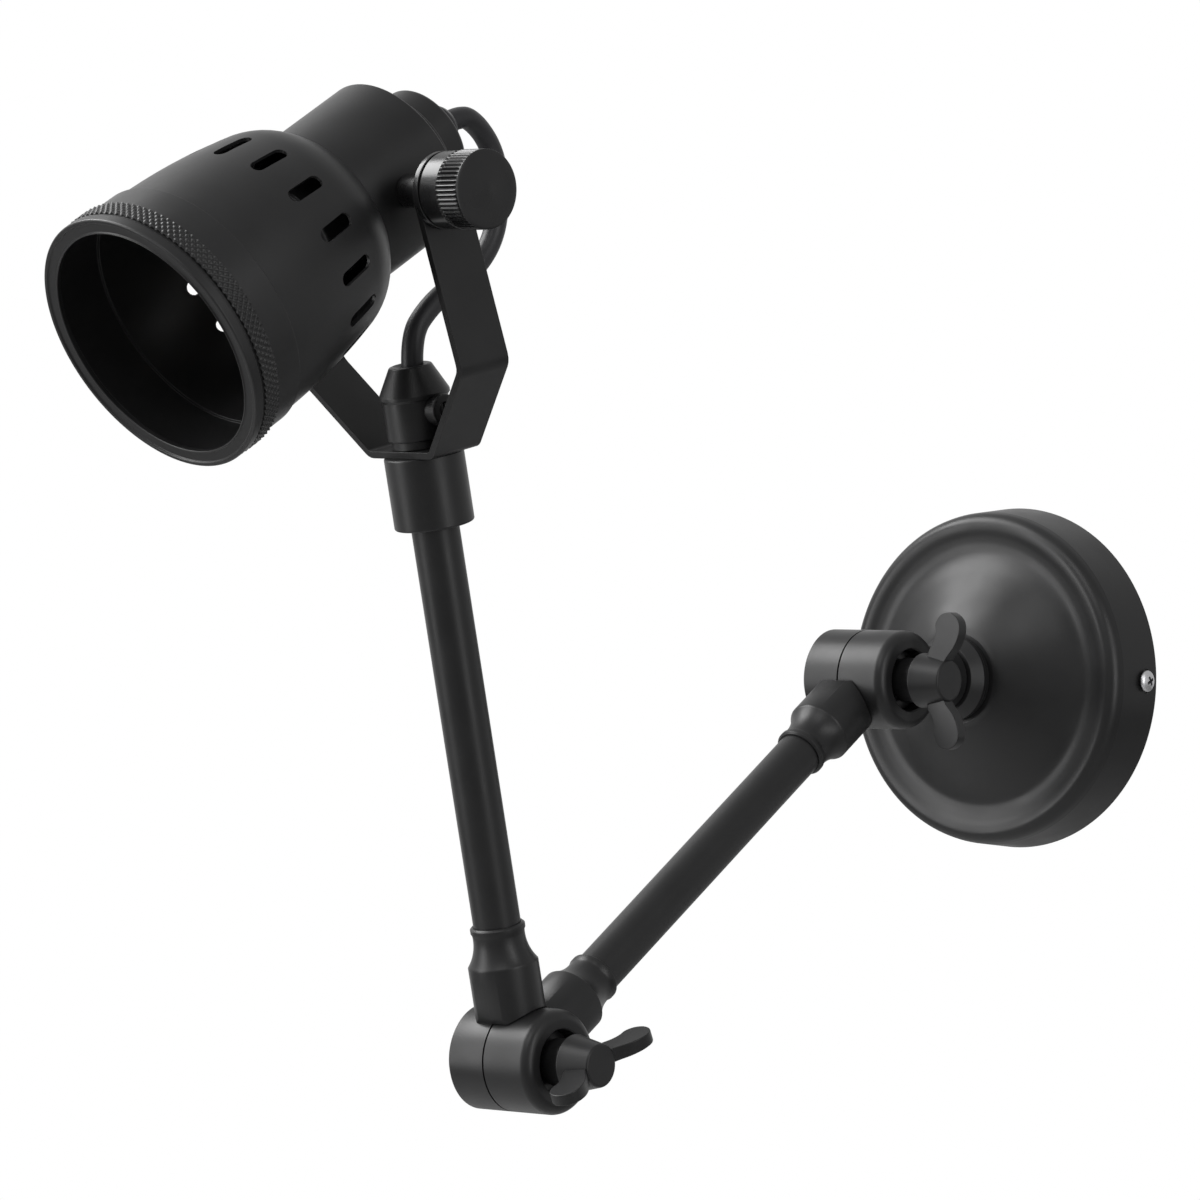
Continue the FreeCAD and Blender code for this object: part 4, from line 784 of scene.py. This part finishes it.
# ------------------------------------------------------------ pieces kept from the frame
class LAMP_OT_knuckles(bpy.types.Operator):
    """Knuckle halves with their sockets, their sharp edges broken"""
    bl_idname = "lamp.knuckles"
    bl_label = "Knuckle halves"

    def execute(self, context):
        for name, body in (("shoulder_stem", "wall_side"), ("lower_arm_rear_socket", "lower_arm"),
                           ("lower_arm_front_socket", "lower_arm"), ("upper_arm_socket", "upper_arm")):
            work = bmesh.new()
            work.from_mesh(frame["nodes"][name].data)
            bmesh.ops.scale(work, vec=(1 / MM, 1 / MM, 1 / MM), verts=work.verts)
            bmesh.ops.remove_doubles(work, verts=work.verts, dist=1e-3)
            bmesh.ops.dissolve_limit(work, angle_limit=math.radians(0.5), verts=work.verts, edges=work.edges)
            softened(work, 0.25, 2, 42)
            finished(made(name + "_cast", work), "black_coat", body, name, sharp=30)
        return {"FINISHED"}


class LAMP_OT_kept_pieces(bpy.types.Operator):
    """Finishes for the CAD pieces that are shown as they are"""
    bl_idname = "lamp.kept_pieces"
    bl_label = "Kept pieces"

    def execute(self, context):
        slots = {part["node"]: part["material_slot"] for part in RECORD["subparts"]}
        for name, piece in frame["nodes"].items():
            if piece.hide_render:
                continue
            mesh = piece.data
            mesh.materials.clear()
            dark = name.startswith(("shoulder_", "elbow_")) and slots[name] == "steel"
            mesh.materials.append(FINISHES["blackened" if dark else slots[name]])
        return {"FINISHED"}


# ------------------------------------------------------------ stage
# Soft boxes: name, width and height in metres, watts, place.
LIGHTS = (("key", (1.3, 0.9), 62.0, (-1.15, -0.85, 1.25)),
          ("fill", (0.9, 0.9), 16.0, (0.5, -1.5, 1.4)),
          ("left_strip", (0.5, 1.6), 34.0, (-1.12, -1.70, 0.2)),
          ("right_strip", (0.35, 1.6), 20.0, (1.75, -0.45, 0.3)))
LIGHTS_AIM = Vector((0.0, -0.25, 0.0))
FLOOR_HEIGHT, FLOOR_REACH = -1.1, 4.0
SURROUNDINGS, BACKGROUND = 0.15, 1.0


def pale_floor():
    """Floor below the lamp."""
    work = bmesh.new()
    bmesh.ops.create_grid(work, x_segments=1, y_segments=1, size=FLOOR_REACH)
    mesh = bpy.data.meshes.new("floor")
    work.to_mesh(mesh)
    work.free()
    floor = link("floor", mesh)
    floor.location = (0, 0, FLOOR_HEIGHT)
    pale = bpy.data.materials.new("pale_floor")
    pale.use_nodes = True
    pale.node_tree.nodes["Principled BSDF"].inputs["Base Color"].default_value = (0.8, 0.8, 0.8, 1)
    pale.node_tree.nodes["Principled BSDF"].inputs["Roughness"].default_value = 0.8
    mesh.materials.append(pale)
    return floor


def white_surroundings(scene):
    """World that is white to the camera, in reflections and through glass, and dim as a light."""
    world = bpy.data.worlds.new("studio")
    scene.world = world
    world.use_nodes = True
    tree = world.node_tree
    sky = tree.nodes["Background"]
    sky.inputs["Color"].default_value = (1, 1, 1, 1)
    rays = tree.nodes.new("ShaderNodeLightPath")
    seen = rays.outputs["Is Camera Ray"]
    for kind in ("Is Glossy Ray", "Is Transmission Ray"):
        either = tree.nodes.new("ShaderNodeMath")
        either.operation = "ADD"
        either.use_clamp = True
        tree.links.new(seen, either.inputs[0])
        tree.links.new(rays.outputs[kind], either.inputs[1])
        seen = either.outputs[0]
    strength = tree.nodes.new("ShaderNodeMapRange")
    strength.inputs["To Min"].default_value = SURROUNDINGS
    strength.inputs["To Max"].default_value = BACKGROUND
    tree.links.new(seen, strength.inputs["Value"])
    tree.links.new(strength.outputs["Result"], sky.inputs["Strength"])


def soft_box(name, sides, watts, spot):
    """Rectangular light that faces the lamp."""
    light = bpy.data.lights.new(name, "AREA")
    light.shape = "RECTANGLE"
    light.size, light.size_y = sides
    light.energy = watts
    holder = bpy.data.objects.new(name, light)
    holder.location = spot
    holder.rotation_euler = (LIGHTS_AIM - Vector(spot)).to_track_quat("-Z", "Y").to_euler()
    bpy.context.scene.collection.objects.link(holder)


def photo_camera(scene):
    """Camera at the photograph's place and angle."""
    azimuth, elevation, roll = [math.radians(angle) for angle in (
        CAMERA_AZIMUTH, CAMERA_ELEVATION, CAMERA_ROLL)]
    back = Vector((math.sin(azimuth) * math.cos(elevation), -math.cos(azimuth) * math.cos(elevation),
                   math.sin(elevation)))
    level = Vector((math.cos(azimuth), math.sin(azimuth), 0.0))
    upright = back.cross(level)
    right = level * math.cos(roll) + upright * math.sin(roll)
    up = upright * math.cos(roll) - level * math.sin(roll)
    lens = bpy.data.cameras.new("view")
    lens.sensor_width = SENSOR_WIDTH
    lens.lens = SENSOR_WIDTH * PHOTO_FOCAL / PHOTO_SIDE
    lens.clip_start = 0.05
    camera = bpy.data.objects.new("view", lens)
    camera.matrix_world = Matrix.Translation(CAMERA_SPOT) @ Matrix((right, up, back)).transposed().to_4x4()
    scene.collection.objects.link(camera)
    scene.camera = camera


class LAMP_OT_stage(bpy.types.Operator):
    """Pale floor, soft lights, white surroundings and the camera"""
    bl_idname = "lamp.stage"
    bl_label = "Stage"

    def execute(self, context):
        scene = context.scene
        pale_floor()
        white_surroundings(scene)
        for name, sides, watts, spot in LIGHTS:
            soft_box(name, sides, watts, spot)
        photo_camera(scene)
        scene.view_settings.view_transform = "Standard"
        return {"FINISHED"}


PIECES = (LAMP_OT_canopy, LAMP_OT_canopy_screws, LAMP_OT_tubes, LAMP_OT_wing_nuts, LAMP_OT_yoke,
          LAMP_OT_cord_grip, LAMP_OT_shade, LAMP_OT_front_ring, LAMP_OT_rear_cap, LAMP_OT_knobs,
          LAMP_OT_lampholder, LAMP_OT_cord, LAMP_OT_knuckles, LAMP_OT_kept_pieces, LAMP_OT_stage)


class LAMP_PT_sidebar(bpy.types.Panel):
    """Sizes and one button for each step"""
    bl_idname = "LAMP_PT_sidebar"
    bl_label = "Wall lamp"
    bl_space_type = "VIEW_3D"
    bl_region_type = "UI"
    bl_category = "Wall lamp"

    def draw(self, context):
        for name in LampSettings.__annotations__:
            self.layout.prop(context.scene.wall_lamp, name)
        for operator in PIECES:
            self.layout.operator(operator.bl_idname)


CLASSES = (LampSettings,) + PIECES + (LAMP_PT_sidebar,)


def register():
    for item in CLASSES:
        bpy.utils.register_class(item)
    bpy.types.Scene.wall_lamp = bpy.props.PointerProperty(type=LampSettings)


def unregister():
    del bpy.types.Scene.wall_lamp
    for item in reversed(CLASSES):
        bpy.utils.unregister_class(item)


def main():
    """Build the lamp and its stage."""
    for name in ("Cube", "Light", "Camera"):
        if name in bpy.data.objects:
            bpy.data.objects.remove(bpy.data.objects[name])
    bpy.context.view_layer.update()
    register()
    make_finishes()
    for operator in PIECES:
        group, name = operator.bl_idname.split(".")
        getattr(getattr(bpy.ops, group), name)()


if __name__ == "__main__":
    main()
